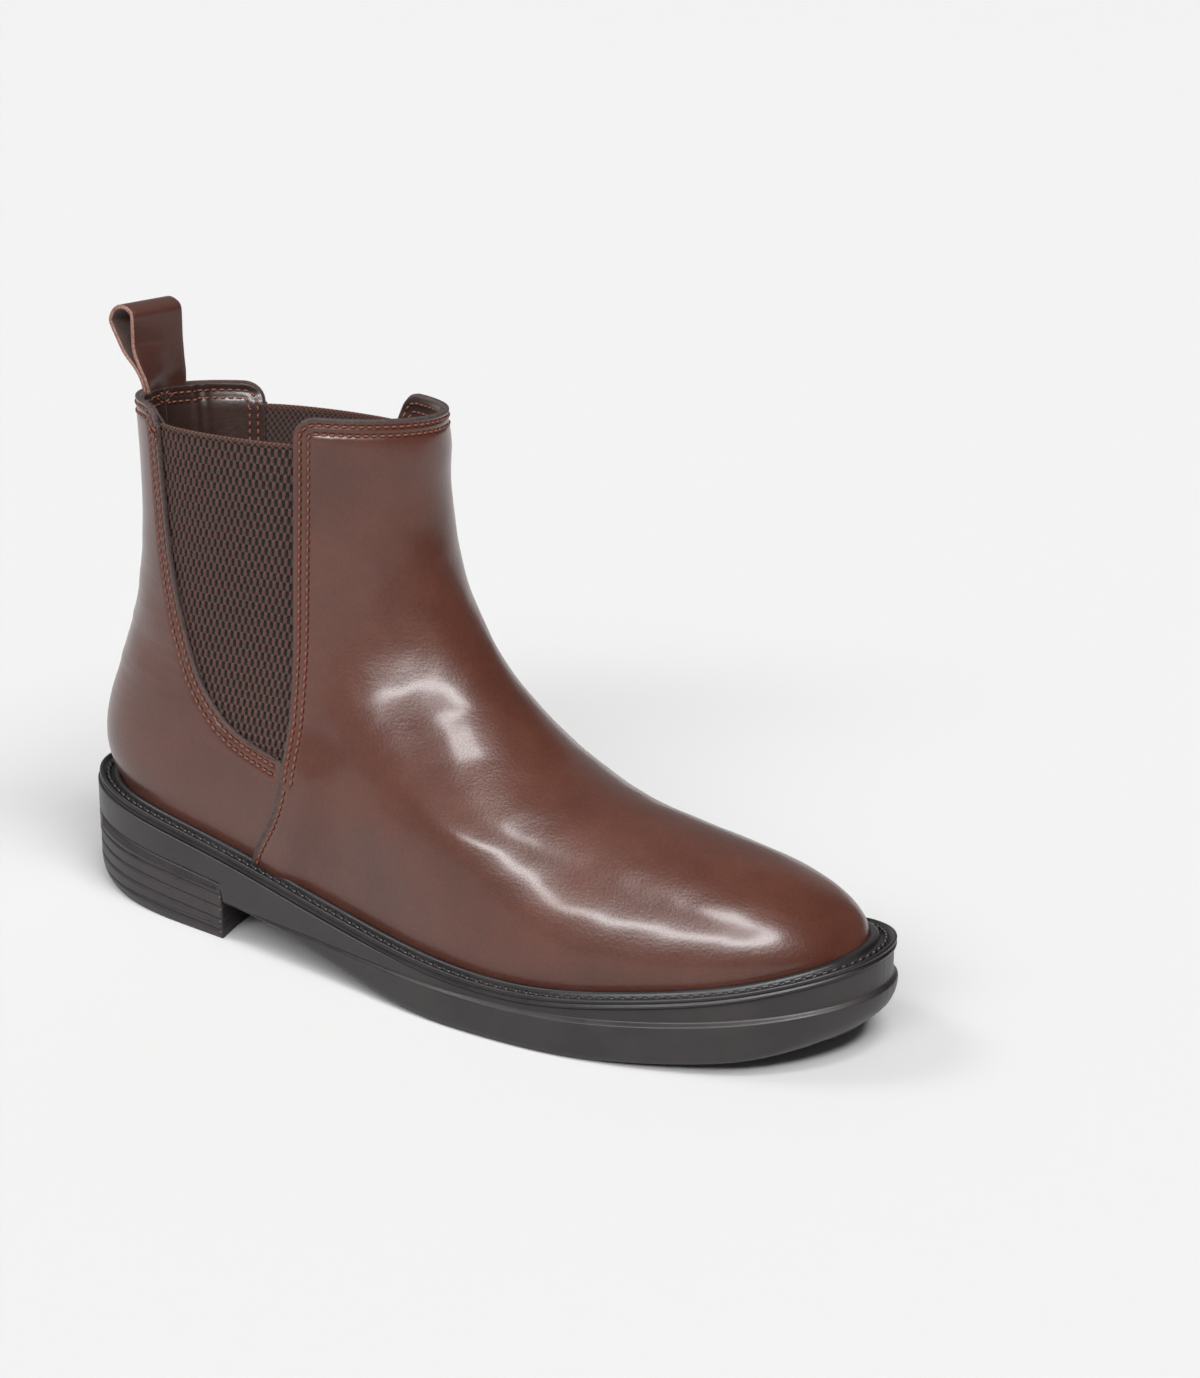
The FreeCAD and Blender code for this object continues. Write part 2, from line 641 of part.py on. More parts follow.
# ---------------------------------------------------------------- pull loop
BACK_X = back(QUARTER_TOP)
PIVOT_X = BACK_X + SECOND + ELASTIC / 2      # over the seam between leather and lining
PIVOT_Z = collar_height(QUARTER_TOP, -LOOP_WIDTH / 2) + LOOP_STRAP + SEAM_GAP


def teardrop(low, small, high, large):
    """Face in the x-z plane round two circles, given by centre height and radius, and their tangents."""
    lean = math.asin((large - small) / (high - low))
    nx = math.cos(lean)
    nz = -math.sin(lean)
    right = V(large * nx, 0, high + large * nz)
    left = V(-right.x, 0, right.z)
    edges = [Part.Arc(right, V(0, 0, high + large), left).toShape()]
    if small:
        foot_right = V(small * nx, 0, low + small * nz)
        foot_left = V(-foot_right.x, 0, foot_right.z)
        edges.append(Part.makeLine(left, foot_left))
        edges.append(Part.Arc(foot_left, V(0, 0, low - small), foot_right).toShape())
        edges.append(Part.makeLine(foot_right, right))
    else:
        edges.append(Part.makeLine(left, V(0, 0, low)))
        edges.append(Part.makeLine(V(0, 0, low), right))
    return Part.Face(Part.Wire(edges))


ring_high = LOOP_HEIGHT - LOOP_DEPTH / 2
outside = teardrop(0.0, LOOP_STRAP, ring_high, LOOP_DEPTH / 2)
hollow = teardrop(LOOP_STITCH, 0.0, ring_high, LOOP_DEPTH / 2 - LOOP_STRAP)
loop = outside.cut(hollow).extrude(V(0, LOOP_WIDTH, 0))
loop.translate(V(0, -LOOP_WIDTH / 2, 0))
loop.rotate(V(0, 0, 0), V(0, 1, 0), -LOOP_LEAN)
loop.rotate(V(0, 0, 0), V(0, 0, 1), -LOOP_TWIST)
loop.translate(V(PIVOT_X, 0, PIVOT_Z))
parts["pull_loop"] = loop

tail_reach = 0.5 * LOOP_WIDTH / (LAST_COLLAR * KC / 2)
tail_patch = patch_place(math.pi, tail_reach, 1 - LOOP_TAIL / BACK_LINE[1][-1], 1.0)
tails = layer(tail_patch, SECOND, ELASTIC, QUS, spread(9))
parts["pull_loop_tails"] = tails.common(under(PIVOT_Z - LOOP_STRAP - SEAM_GAP))

# ---------------------------------------------------------------- write
UPRIGHT = V(0, 1, 0)
ORIGIN = V(0, 0, 0)
plan = outsole.rotated(ORIGIN, UPRIGHT, -PITCH).BoundBox
down = GROUND_BACK * math.cos(math.radians(PITCH))
shift = V(-(plan.XMin + plan.XMax) / 2, -(plan.YMin + plan.YMax) / 2, -down)


def placed(x, y, z):
    """Where a point in last coordinates ends up."""
    vertex = Part.Vertex(x, y, z)
    vertex.rotate(ORIGIN, UPRIGHT, -PITCH)
    return [round(a + b, 2) for a, b in zip(vertex.Point, shift)]


os.makedirs("parts", exist_ok=True)
for name, shape in parts.items():
    shape.rotate(ORIGIN, UPRIGHT, -PITCH)
    shape.translate(shift)
    solids = shape.Solids
    out = solids[0] if len(solids) == 1 else Part.makeCompound(solids)
    out.exportStep("parts/%s.step" % name)
    print("%-28s solids %d volume %9.1f valid %s" % (name, len(solids), out.Volume, out.isValid()))
print("last's origin at", placed(0, 0, 0))
print("forepart bends about", placed(FLEX_X, 0, FLEX_Z))
print("shaft opens about", placed(back(SHAFT_SPLIT) - SEAM_GAP, 0, SHAFT_SPLIT))
print("loop swings about", placed(PIVOT_X, 0, PIVOT_Z))
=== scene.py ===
import math

import bmesh
import bpy
import numpy as np
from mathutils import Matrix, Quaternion, Vector
from mathutils.bvhtree import BVHTree
from mathutils.kdtree import KDTree


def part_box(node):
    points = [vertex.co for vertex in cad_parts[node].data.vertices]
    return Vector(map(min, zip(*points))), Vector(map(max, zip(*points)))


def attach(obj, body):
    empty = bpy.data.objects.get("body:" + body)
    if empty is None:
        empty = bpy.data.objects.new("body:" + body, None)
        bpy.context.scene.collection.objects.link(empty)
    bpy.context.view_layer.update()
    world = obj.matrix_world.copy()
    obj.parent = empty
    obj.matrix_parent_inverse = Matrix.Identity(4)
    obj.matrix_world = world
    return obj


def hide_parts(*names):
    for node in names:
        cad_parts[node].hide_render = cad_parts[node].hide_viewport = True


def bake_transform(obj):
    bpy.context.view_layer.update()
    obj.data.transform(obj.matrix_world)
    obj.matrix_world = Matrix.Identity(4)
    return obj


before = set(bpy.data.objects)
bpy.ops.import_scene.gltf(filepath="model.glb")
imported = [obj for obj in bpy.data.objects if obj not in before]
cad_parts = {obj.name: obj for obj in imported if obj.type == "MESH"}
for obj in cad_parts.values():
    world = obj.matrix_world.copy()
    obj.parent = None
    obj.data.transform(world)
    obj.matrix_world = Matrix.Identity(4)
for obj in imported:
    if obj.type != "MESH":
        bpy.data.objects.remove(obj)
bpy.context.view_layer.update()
SEED = 7

# Lengths in this script are millimetres in last coordinates: x from the back of the heel, y from the
# heel's centre line, z from the last's base line, which leans against the ground.  place() turns
# them into the frame's metres.

# ---------------------------------------------------------------- sizes, as in the design
HEEL_SEAT = 43.5
BALL_SEAT = 14.5
TOE_SEAT = 26.0
SHAFT_HEIGHT = 185.0
QUARTER_TOP = SHAFT_HEIGHT - 3.0
GUSSET_TOP = SHAFT_HEIGHT - 10.0
PITCH = math.radians(2.7)
GROUND_BACK = 5.2
COLLAR_WIDTH = 75.0
COLLAR_TILT = math.tan(math.radians(4.5))
CORNER = 8.0
SOLE_TOP = 3.5
LEATHER = 1.6
LINING = 0.9
ELASTIC = 1.1
LAYER_GAP = 0.3
SECOND = LEATHER + LAYER_GAP
THIRD = SECOND + ELASTIC + LAYER_GAP
INSIDE = THIRD + LINING + LAYER_GAP
TUCK = 7.0
SEAM_LAP = 8.0
MARGIN = 6.0
END_MARGIN = 10.5
HEEL_LENGTH = 74.0
HEEL_BREAST = 13.0
BLOCK_TOP = HEEL_BREAST + 5.0
TOP_PIECE = 5.0
TOE_SPRING = 9.0
SPRING_POWER = 1.6
BOOT_LENGTH = 300.0
RISE = 162.0
BALL_X = 172.0
SPRING_X = 205.0
EXTRA_SPRING = 3.0
LOOP_WIDTH = 25.0
SEAM_GAP = 0.35

RIDGE = [(0, 288), (6, 284), (12, 278), (19, 267), (25, 253), (37, 214.5), (45, 193), (55, 177), (67, 163),
         (81, 152), (96, 144.5), (112, 140), (132, 137), (162, 137)]
BACK = [(0, 11), (8, 7), (17, 5.7), (29, 8), (43, 13), (57, 18), (72, 22), (95, 25), (139, 25)]
FEATHER = [(11, HEEL_SEAT), (40, HEEL_SEAT - 4.5), (84, HEEL_SEAT - 12.7),
           (120, BALL_SEAT + 8.8), (160, BALL_SEAT + 2.6), (200, BALL_SEAT),
           (230, TOE_SEAT - 9.2), (260, TOE_SEAT - 5.6), (288, TOE_SEAT)]
CENTRE = [(9, 0), (60, -0.5), (100, -4), (140, -7), (180, -8), (220, -5.5), (250, 0), (290, 6)]
HALF = [(9, 34), (50, 33.5), (80, 33.7), (105, 35), (130, 37.5), (160, 42), (190, 44), (215, 44), (240, 43),
        (265, 42), (290, 40.5)]
SHAFT = [(0, 31), (50, 31.5), (80, 33), (110, 35), (150, 37.5)]
VAMP_SEAM = [(-14, 84), (-8, 86.5), (2, 92.5), (14, 97.5), (22, 98.5), (60, 100), (131, 103.5)]
GUSSET_REAR = [(24, 98), (29, 81), (35, 71), (43, 64), (58, 57.5), (80, 52), (105, 49.5), (132, 49)]


# ---------------------------------------------------------------- the last's surface
def spline(points):
    """Natural cubic through (s, value) points, carried on straight past both ends; takes arrays."""
    xs, ys = (np.array(c, float) for c in zip(*points))
    n = len(xs)
    h = np.diff(xs)
    system = np.eye(n)
    rhs = np.zeros(n)
    for i in range(1, n - 1):
        system[i, i - 1:i + 2] = h[i - 1], 2 * (h[i - 1] + h[i]), h[i]
        rhs[i] = 6 * ((ys[i + 1] - ys[i]) / h[i] - (ys[i] - ys[i - 1]) / h[i - 1])
    bend = np.linalg.solve(system, rhs)
    low_slope = (ys[1] - ys[0]) / h[0] - h[0] * bend[1] / 6
    high_slope = (ys[-1] - ys[-2]) / h[-1] + h[-1] * bend[-2] / 6

    def value(x):
        x = np.asarray(x, float)
        i = np.clip(np.searchsorted(xs, x) - 1, 0, n - 2)
        a = xs[i + 1] - x
        b = x - xs[i]
        inner = (bend[i] * a ** 3 + bend[i + 1] * b ** 3) / (6 * h[i])
        inner = inner + (ys[i] / h[i] - bend[i] * h[i] / 6) * a
        inner = inner + (ys[i + 1] / h[i] - bend[i + 1] * h[i] / 6) * b
        inner = np.where(x < xs[0], ys[0] + low_slope * (x - xs[0]), inner)
        return np.where(x > xs[-1], ys[-1] + high_slope * (x - xs[-1]), inner)

    return value


def ease(low, high, x):
    """Smooth step from 0 at low to 1 at high."""
    t = np.clip((np.asarray(x, float) - low) / (high - low), 0, 1)
    return t * t * (3 - 2 * t)


def crown(q, power):
    """Rounded rise from 0 at q = 0 to 1 at q = 1."""
    return 1 - (1 - np.clip(q, 0, 1)) ** power


def hump(x, middle, width):
    """Bell curve of height 1."""
    return np.exp(-((x - middle) / width) ** 2)


def raised(points, base):
    """Curve x(z) through (height over a base, x) points."""
    return spline([(base + h, x) for h, x in points])


ridge = raised(RIDGE, TOE_SEAT)
back = raised(BACK, HEEL_SEAT)
feather = spline(FEATHER)
centre = spline(CENTRE)
half = spline(HALF)
shaft = raised(SHAFT, HEEL_SEAT)
vamp_edge = raised(VAMP_SEAM, HEEL_SEAT)
gusset_rear = raised(GUSSET_REAR, HEEL_SEAT)
GUSSET_LOW = HEEL_SEAT + GUSSET_REAR[0][0]
TOE_TIP = float(ridge(TOE_SEAT))
HEEL_TIP = float(back(HEEL_SEAT))
ANKLE_LOW = HEEL_SEAT + 2
ANKLE_HIGH = HEEL_SEAT + 72


def profile(curve, low, high):
    """Points of a curve x(z) and the length run along it."""
    z = np.linspace(low, high, 401)
    x = curve(z)
    run = np.concatenate([[0], np.cumsum(np.hypot(np.diff(x), np.diff(z)))])
    return x, z, run


RIDGE_LINE = profile(ridge, TOE_SEAT, TOE_SEAT + RISE)
BACK_LINE = profile(back, HEEL_SEAT, HEEL_SEAT + BACK[-1][0])
INSTEP = RIDGE_LINE[0] > 141
INSTEP_ORDER = np.argsort(RIDGE_LINE[0][INSTEP])
INSTEP_X = RIDGE_LINE[0][INSTEP][INSTEP_ORDER]
INSTEP_Z = RIDGE_LINE[1][INSTEP][INSTEP_ORDER]


def along(line, t):
    """Point of a profile at a share of its length."""
    x, z, run = line
    s = t * run[-1]
    return np.interp(s, run, x), np.interp(s, run, z)


def half_width(x, z):
    """Half the last's width, rounded at the toe, at the heel and over the instep."""
    up = ease(ANKLE_LOW, ANKLE_HIGH, z)
    width = half(x) * (1 - up) + shaft(z) * up
    width = width * (1 - 0.03 * np.exp(-np.maximum(0, z - feather(x)) / 5))
    toe = 1 - np.exp(-np.maximum(0, TOE_TIP - x) / 22)
    eta = np.maximum(0, x - np.where(z > HEEL_SEAT, back(z), HEEL_TIP))
    heel = (1 - up) * (1 - np.exp(-eta / 20)) + up * crown(eta / 62, 3)
    to_shaft = 1 - ease(150, 215, x)
    top = np.interp(x, INSTEP_X, INSTEP_Z)
    over = np.where(x > INSTEP_X[0], crown((top - z) / np.maximum(0.5, top - feather(x)), 2.3), 1.0)
    front = crown((ridge(z) - x) / 62, 2.6)
    return width * np.sqrt(np.maximum(0, toe * heel * ((1 - to_shaft) * over + to_shaft * front)))


def side_point(phi, t):
    """x and z on the last: phi goes round from the toe (0) to the heel (pi), t up from the feather edge."""
    xi = (1 - np.cos(phi)) / 2
    xr, zr = along(RIDGE_LINE, t)
    xb, zb = along(BACK_LINE, t)
    x = xr + (xb - xr) * xi
    z = zr + (zb - zr) * xi
    x0 = TOE_TIP + (HEEL_TIP - TOE_TIP) * xi
    z0 = TOE_SEAT + (HEEL_SEAT - TOE_SEAT) * xi
    return x, z + (feather(x0) - z0) * (1 - t) ** 3


def surface(phi, t):
    phi, t = np.broadcast_arrays(np.asarray(phi, float), np.asarray(t, float))
    x, z = side_point(phi, t)
    y = half_width(x, z) * np.where(np.sin(phi) < 0, -1, 1)
    return np.stack([x, y + centre(x) * (1 - ease(ANKLE_LOW, ANKLE_HIGH, z)), z], -1)


def unit(v):
    return v / np.maximum(1e-12, np.linalg.norm(v, axis=-1, keepdims=True))


def normal(phi, t):
    """The way out of the last's surface."""
    d = 0.004
    across = surface(phi + d, t) - surface(phi - d, t)
    up = surface(phi, np.minimum(1, t + d)) - surface(phi, np.maximum(0, t - d))
    return unit(np.cross(across, up))


def turn(phi, t, distance):
    """Angle that covers a distance along the surface."""
    step = np.linalg.norm(surface(phi + 0.01, t) - surface(phi - 0.01, t), axis=-1)
    return 0.02 * distance / step


def solve(test, low, high, steps=40):
    """Bisection on arrays: the value where test(value) turns from True to False."""
    low = np.array(low, float)
    high = np.array(high, float)
    for _ in range(steps):
        mid = (low + high) / 2
        ahead = test(mid)
        low = np.where(ahead, mid, low)
        high = np.where(ahead, high, mid)
    return (low + high) / 2


def edge_angle(edge, t):
    """Angle at which the line of height share t crosses an edge x(z)."""
    t = np.asarray(t, float)

    def ahead(phi):
        x, z = side_point(phi, t)
        return x > edge(z)

    return solve(ahead, np.full(t.shape, 0.02), np.full(t.shape, math.pi - 0.02))


T_TABLE = np.linspace(0, 1, 801)
SEAM_TABLE = edge_angle(vamp_edge, T_TABLE)
SEAM_Z = side_point(SEAM_TABLE, T_TABLE)[1]
T_CORNER = float(np.interp(GUSSET_LOW, SEAM_Z, T_TABLE))


def window_edge(z):
    """Rear edge of the elastic's window, which runs into the vamp's seam below it."""
    return np.minimum(gusset_rear(np.maximum(z, GUSSET_LOW)), vamp_edge(z))


REAR_TABLE = edge_angle(window_edge, T_TABLE)


def seam(t):
    """Angle of the vamp's side seam."""
    return np.interp(t, T_TABLE, SEAM_TABLE)


def rear(t):
    """Angle of the window's rear edge."""
    return np.interp(t, T_TABLE, REAR_TABLE)


# ---------------------------------------------------------------- into the frame
def outline(phi, nudge, side=MARGIN, end=END_MARGIN):
    """Feather-edge points, the way out from each, and how far the sole stands out there."""
    here = surface(phi, 0.0)
    step = surface(phi + nudge, 0.0) - surface(phi - nudge, 0.0)
    out = unit(np.stack([step[:, 1], -step[:, 0], np.zeros(len(phi))], -1))
    return here, out, side + (end - side) * out[:, 0] ** 4


PLAN_POINTS = 720
here, out, stand = outline(-math.pi + 2 * math.pi * (np.arange(PLAN_POINTS) + 0.5) / PLAN_POINTS, 0.02)
sole_plan = here + out * stand[:, None]
sole_boxes = [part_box(node) for node in ("outsole_waist", "outsole_forepart")]
sole_low = [1000 * min(box[0][i] for box in sole_boxes) for i in range(2)]
COS = math.cos(PITCH)
SIN = math.sin(PITCH)
reach_back = sole_plan[:, 0] * COS - (feather(sole_plan[:, 0]) - SOLE_TOP) * SIN
SHIFT = np.array([sole_low[0] - reach_back.min(),
                  sole_low[1] - sole_plan[:, 1].min(),
                  -GROUND_BACK * COS])
LEAN = np.array([[COS, 0, SIN], [0, 1, 0], [-SIN, 0, COS]])


def place(points):
    """Last coordinates to the frame: leant so that the boot stands on the ground, then shifted."""
    return (np.asarray(points, float) @ LEAN + SHIFT) / 1000


def ground(x, height=0.0):
    """A height above the ground, in last coordinates."""
    return GROUND_BACK - x * math.tan(PITCH) + height / COS


def collar_level(phi, t):
    """Height of a point against the collar, which falls to the medial side."""
    p = surface(phi, t)
    return p[..., 2] + (p[..., 1] + COLLAR_WIDTH / 2) * COLLAR_TILT


def mesh_object(name, verts, faces, smooth=True):
    """A mesh from points in last coordinates."""
    mesh = bpy.data.meshes.new(name)
    mesh.from_pydata([tuple(p) for p in place(verts)], [], [tuple(int(i) for i in f) for f in faces])
    if smooth:
        mesh.polygons.foreach_set("use_smooth", [True] * len(mesh.polygons))
    mesh.update()
    ob = bpy.data.objects.new(name, mesh)
    bpy.context.scene.collection.objects.link(ob)
    bm = bmesh.new()
    bm.from_mesh(mesh)
    bmesh.ops.recalc_face_normals(bm, faces=bm.faces)
    bm.to_mesh(mesh)
    bm.free()
    return ob


def set_uv(ob, uv, name="panel"):
    """UV map from one (u, v) per vertex."""
    layer = ob.data.uv_layers.new(name=name)
    index = np.zeros(len(ob.data.loops), int)
    ob.data.loops.foreach_get("vertex_index", index)
    layer.data.foreach_set("uv", np.asarray(uv, float)[index].ravel())


def grid_quads(m, n):
    """Faces of an open grid of points."""
    grid = np.arange(m * n).reshape(m, n)
    return np.stack([grid[:-1, :-1], grid[1:, :-1], grid[1:, 1:], grid[:-1, 1:]], -1).reshape(-1, 4)


def tube_quads(index):
    """Faces of a tube: rings of indices, one after another, each closed along the last axis."""
    nxt = np.roll(index, -1, -1)
    corners = [index[..., :-1, :], nxt[..., :-1, :], nxt[..., 1:, :], index[..., 1:, :]]
    return np.stack(corners, -1).reshape(-1, 4)


# ---------------------------------------------------------------- panels
def ring_of(m, n):
    """Indices of a grid's border, in order."""
    first_row = [(i, 0) for i in range(m - 1)]
    last_column = [(m - 1, j) for j in range(n - 1)]
    last_row = [(i, n - 1) for i in range(m - 1, 0, -1)]
    first_column = [(0, j) for j in range(n - 1, 0, -1)]
    return np.array(first_row + last_column + last_row + first_column)


PATH_STEP = 0.5
RIM_INSET = 0.15
UV_UNIT = 100.0


class Panel:
    """A piece of sheet material on the last: a grid of outside points with rolled, closed edges."""

    def __init__(self, phi, t, depth, thick, roll=0.4):
        self.base = surface(phi, t)
        self.normal = normal(phi, t)
        self.m, self.n = phi.shape
        self.ring = ring_of(self.m, self.n)
        self.roll = min(roll, thick / 2)
        self.run_u = run_length(self.base, 0)
        self.run_v = run_length(self.base, 1)
        self.outer = self.base - self.normal * np.broadcast_to(depth, phi.shape)[..., None]
        self.inner = self.outer - self.normal * thick
        i, j = self.ring.T
        self.edge_normal = self.normal[i, j]
        edge = self.outer[i, j]
        tangent = unit(np.roll(edge, -1, 0) - np.roll(edge, 1, 0))
        out = unit(np.cross(tangent, self.edge_normal))
        near = self.outer[np.clip(i, 1, self.m - 2), np.clip(j, 1, self.n - 2)]
        self.edge_out = out * np.sign(np.median(np.sum(out * (edge - near), -1)))

    def lift(self, amount, inner=True):
        """Moves the outside, and the inside with it, along the normal."""
        self.outer = self.outer + self.normal * amount[..., None]
        if inner:
            self.inner = self.inner + self.normal * amount[..., None]

    def path(self, keep, inset, inside=False):
        """Line on the sheet at a distance in from part of its edge: points and normals."""
        i, j = self.ring.T
        sheet = self.inner if inside else self.outer
        chosen = keep(i, j)
        first = int(np.argmax(chosen & ~np.roll(chosen, 1)))
        order = np.roll(np.arange(len(chosen)), -first)
        order = order[chosen[order]]
        line = sheet[i, j][order] - self.edge_out[order] * inset
        line = resample(line, PATH_STEP)
        for _ in range(3):
            line[1:-1] = (line[:-2] + line[1:-1] * 2 + line[2:]) / 4
        quads = grid_quads(self.m, self.n)
        tree = BVHTree.FromPolygons(sheet.reshape(-1, 3).tolist(), quads.tolist())
        normals = self.normal.reshape(-1, 3) * (-1 if inside else 1)
        points = []
        ways = []
        for p in line:
            spot, _, face, _ = tree.find_nearest(Vector(p))
            points.append(spot)
            ways.append(normals[quads[face]].mean(0))
        return np.array(points), unit(np.array(ways))

    def press(self, lines, depth=0.5, width=0.75, inside=False):
        """Sinks the sheet along stitch lines."""
        tree = KDTree(sum(len(p) for p, _ in lines))
        for k, p in enumerate(np.concatenate([p for p, _ in lines])):
            tree.insert(Vector(p), k)
        tree.balance()
        sheet = self.inner if inside else self.outer
        flat = sheet.reshape(-1, 3)
        away = np.array([tree.find(Vector(p))[2] for p in flat]).reshape(self.m, self.n)
        sink = depth * np.exp(-(away / width) ** 2)[..., None]
        if inside:
            self.inner = self.inner + self.normal * sink
        else:
            self.outer = self.outer - self.normal * sink

    def build(self, name, outside, rim, inside, edge_shade_strips=()):
        """Mesh object with a material each for its outside, its rim and its inside.

        Listed strips are rows or columns of the outside that show the rim's dark edge material: real edge
        paint, widened onto the face as painted shade along the lapped edges."""
        m, n = self.m, self.n
        i, j = self.ring.T
        r = self.roll
        edge = self.outer[i, j]
        outer = self.outer.copy()
        outer[i, j] = edge - self.edge_out * r
        inner = self.inner.copy()
        inner[i, j] = self.inner[i, j] - self.edge_out * RIM_INSET
        loops = []
        for angle in (30, 60, 90):
            a = math.radians(angle)
            in_from_edge = self.edge_out * r * (1 - math.sin(a))
            below_face = self.edge_normal * r * (1 - math.cos(a))
            loops.append(edge - in_from_edge - below_face)
        loops.append(self.inner[i, j] + self.edge_normal * RIM_INSET)
        verts = np.concatenate([outer.reshape(-1, 3), inner.reshape(-1, 3)] + loops)
        quads = grid_quads(m, n)
        k = len(self.ring)
        flat = i * n + j
        chain = [flat] + [2 * m * n + k * c + np.arange(k) for c in range(len(loops))] + [flat + m * n]
        rims = [np.stack([a, np.roll(a, -1), np.roll(b, -1), b], -1) for a, b in zip(chain, chain[1:])]
        faces = np.concatenate([quads, quads + m * n] + rims)
        ob = mesh_object(name, verts, faces)
        uv = np.stack([self.run_u, self.run_v], -1) / UV_UNIT
        set_uv(ob, np.concatenate([uv.reshape(-1, 2)] * 2 + [uv[i, j]] * len(loops)))
        kind = np.repeat([0, 2, 1], [len(quads), len(quads), k * len(rims)])
        face_kind = np.zeros((m - 1, n - 1), int)
        # listed strips of the outside take the rim's dark edge material, as painted shade along the edges
        for strip in edge_shade_strips:
            face_kind[strip] = 1
        kind[:len(quads)] = face_kind.ravel()
        for mat in (outside, rim, inside):
            ob.data.materials.append(mat)
        ob.data.polygons.foreach_set("material_index", kind)
        return ob


def run_length(points, axis):
    """Length run along one way of a grid of points."""
    steps = np.linalg.norm(np.diff(points, axis=axis), axis=-1)
    start = np.zeros((1, steps.shape[1]) if axis == 0 else (steps.shape[0], 1))
    return np.concatenate([start, np.cumsum(steps, axis=axis)], axis=axis)


def resample(line, step):
    """Points a step apart along a line."""
    run = np.concatenate([[0], np.cumsum(np.linalg.norm(np.diff(line, axis=0), axis=-1))])
    count = max(2, int(round(run[-1] / step)) + 1)
    where = np.linspace(0, run[-1], count)
    return np.stack([np.interp(where, run, line[:, c]) for c in range(3)], -1)


def graded(fine, edge, coarse, total):
    """Distances from 0 to total: fine steps within edge of both ends, coarse between."""
    near = np.concatenate([[0.0], np.arange(0.7, edge, fine)])
    far = np.linspace(edge, total - edge, max(3, int((total - 2 * edge) / coarse)))
    return np.concatenate([near, far, total - near[::-1]]) / total


def smooth_noise(points, scale, seed, octaves=3):
    """Cheap band-limited noise, about -1 to 1, at points in millimetres."""
    rng = np.random.default_rng(seed)
    total = np.zeros(points.shape[:-1])
    size = 1.0
    for _ in range(octaves):
        for _ in range(6):
            way = unit(rng.normal(size=3))
            total += size * np.sin((points @ way) * 2 * math.pi / scale + rng.uniform(0, 6.28)) / 3.5
        scale /= 1.9
        size *= 0.5
    return total


# ---------------------------------------------------------------- materials
class Nodes:
    """Short ways to make shader nodes, in a new material or in a world."""

    def __init__(self, name, world=None):
        self.mat = world or bpy.data.materials.new(name)
        self.mat.use_nodes = True
        self.tree = self.mat.node_tree
        self.shader = self.tree.nodes["Background" if world else "Principled BSDF"]

    def node(self, kind, inputs=None, **options):
        made = self.tree.nodes.new("ShaderNode" + kind)
        for key, value in options.items():
            setattr(made, key, value)
        for key, value in (inputs or {}).items():
            self.feed(made.inputs[key], value)
        return made

    def feed(self, socket, value):
        if isinstance(value, bpy.types.NodeSocket):
            self.tree.links.new(value, socket)
        else:
            socket.default_value = value

    def set(self, **inputs):
        for key, value in inputs.items():
            self.feed(self.shader.inputs[key.replace("_", " ")], value)

    def where(self, stretch=(1, 1, 1)):
        """Texture place in millimetres."""
        source = self.node("TexCoord").outputs["Object"]
        scale = tuple(1000.0 * c for c in stretch)
        return self.node("Mapping", {"Vector": source, "Scale": scale}).outputs[0]

    def noise(self, place, size, detail=3.0, rough=0.5, distort=0.0):
        inputs = {"Vector": place, "Scale": 1 / size, "Detail": detail}
        inputs.update({"Roughness": rough, "Distortion": distort})
        return self.node("TexNoise", inputs).outputs["Fac"]

    def cells(self, place, size, feature="F1"):
        inputs = {"Vector": place, "Scale": 1 / size}
        return self.node("TexVoronoi", inputs, feature=feature).outputs["Distance"]

    def math(self, operation, a, b=0.0):
        made = self.node("Math", operation=operation)
        self.feed(made.inputs[0], a)
        self.feed(made.inputs[1], b)
        return made.outputs[0]

    def sum(self, a, b, share=1.0):
        """a plus a share of b."""
        return self.math("ADD", a, self.math("MULTIPLY", b, share))

    def ramp(self, value, low, high, at_low=0.0, at_high=1.0):
        inputs = {"Value": value, "From Min": low, "From Max": high, "To Min": at_low, "To Max": at_high}
        return self.node("MapRange", inputs, interpolation_type="SMOOTHSTEP").outputs[0]

    def mix(self, share, a, b, blend="MIX"):
        made = self.node("Mix", data_type="RGBA", blend_type=blend)
        self.feed(made.inputs["Factor"], share)
        self.feed(made.inputs["A"], a)
        self.feed(made.inputs["B"], b)
        return made.outputs["Result"]

    def bump(self, height, strength, depth, onto=None):
        inputs = {"Height": height, "Strength": strength, "Distance": depth / 1000}
        if onto is not None:
            inputs["Normal"] = onto
        return self.node("Bump", inputs).outputs[0]


def colour(hex_code, gain=1.0):
    """Linear colour of an sRGB hex code."""
    parts = [int(hex_code[i:i + 2], 16) / 255 for i in (1, 3, 5)]
    linear = [c / 12.92 if c <= 0.04045 else ((c + 0.055) / 1.055) ** 2.4 for c in parts]
    return tuple(gain * c for c in linear) + (1.0,)


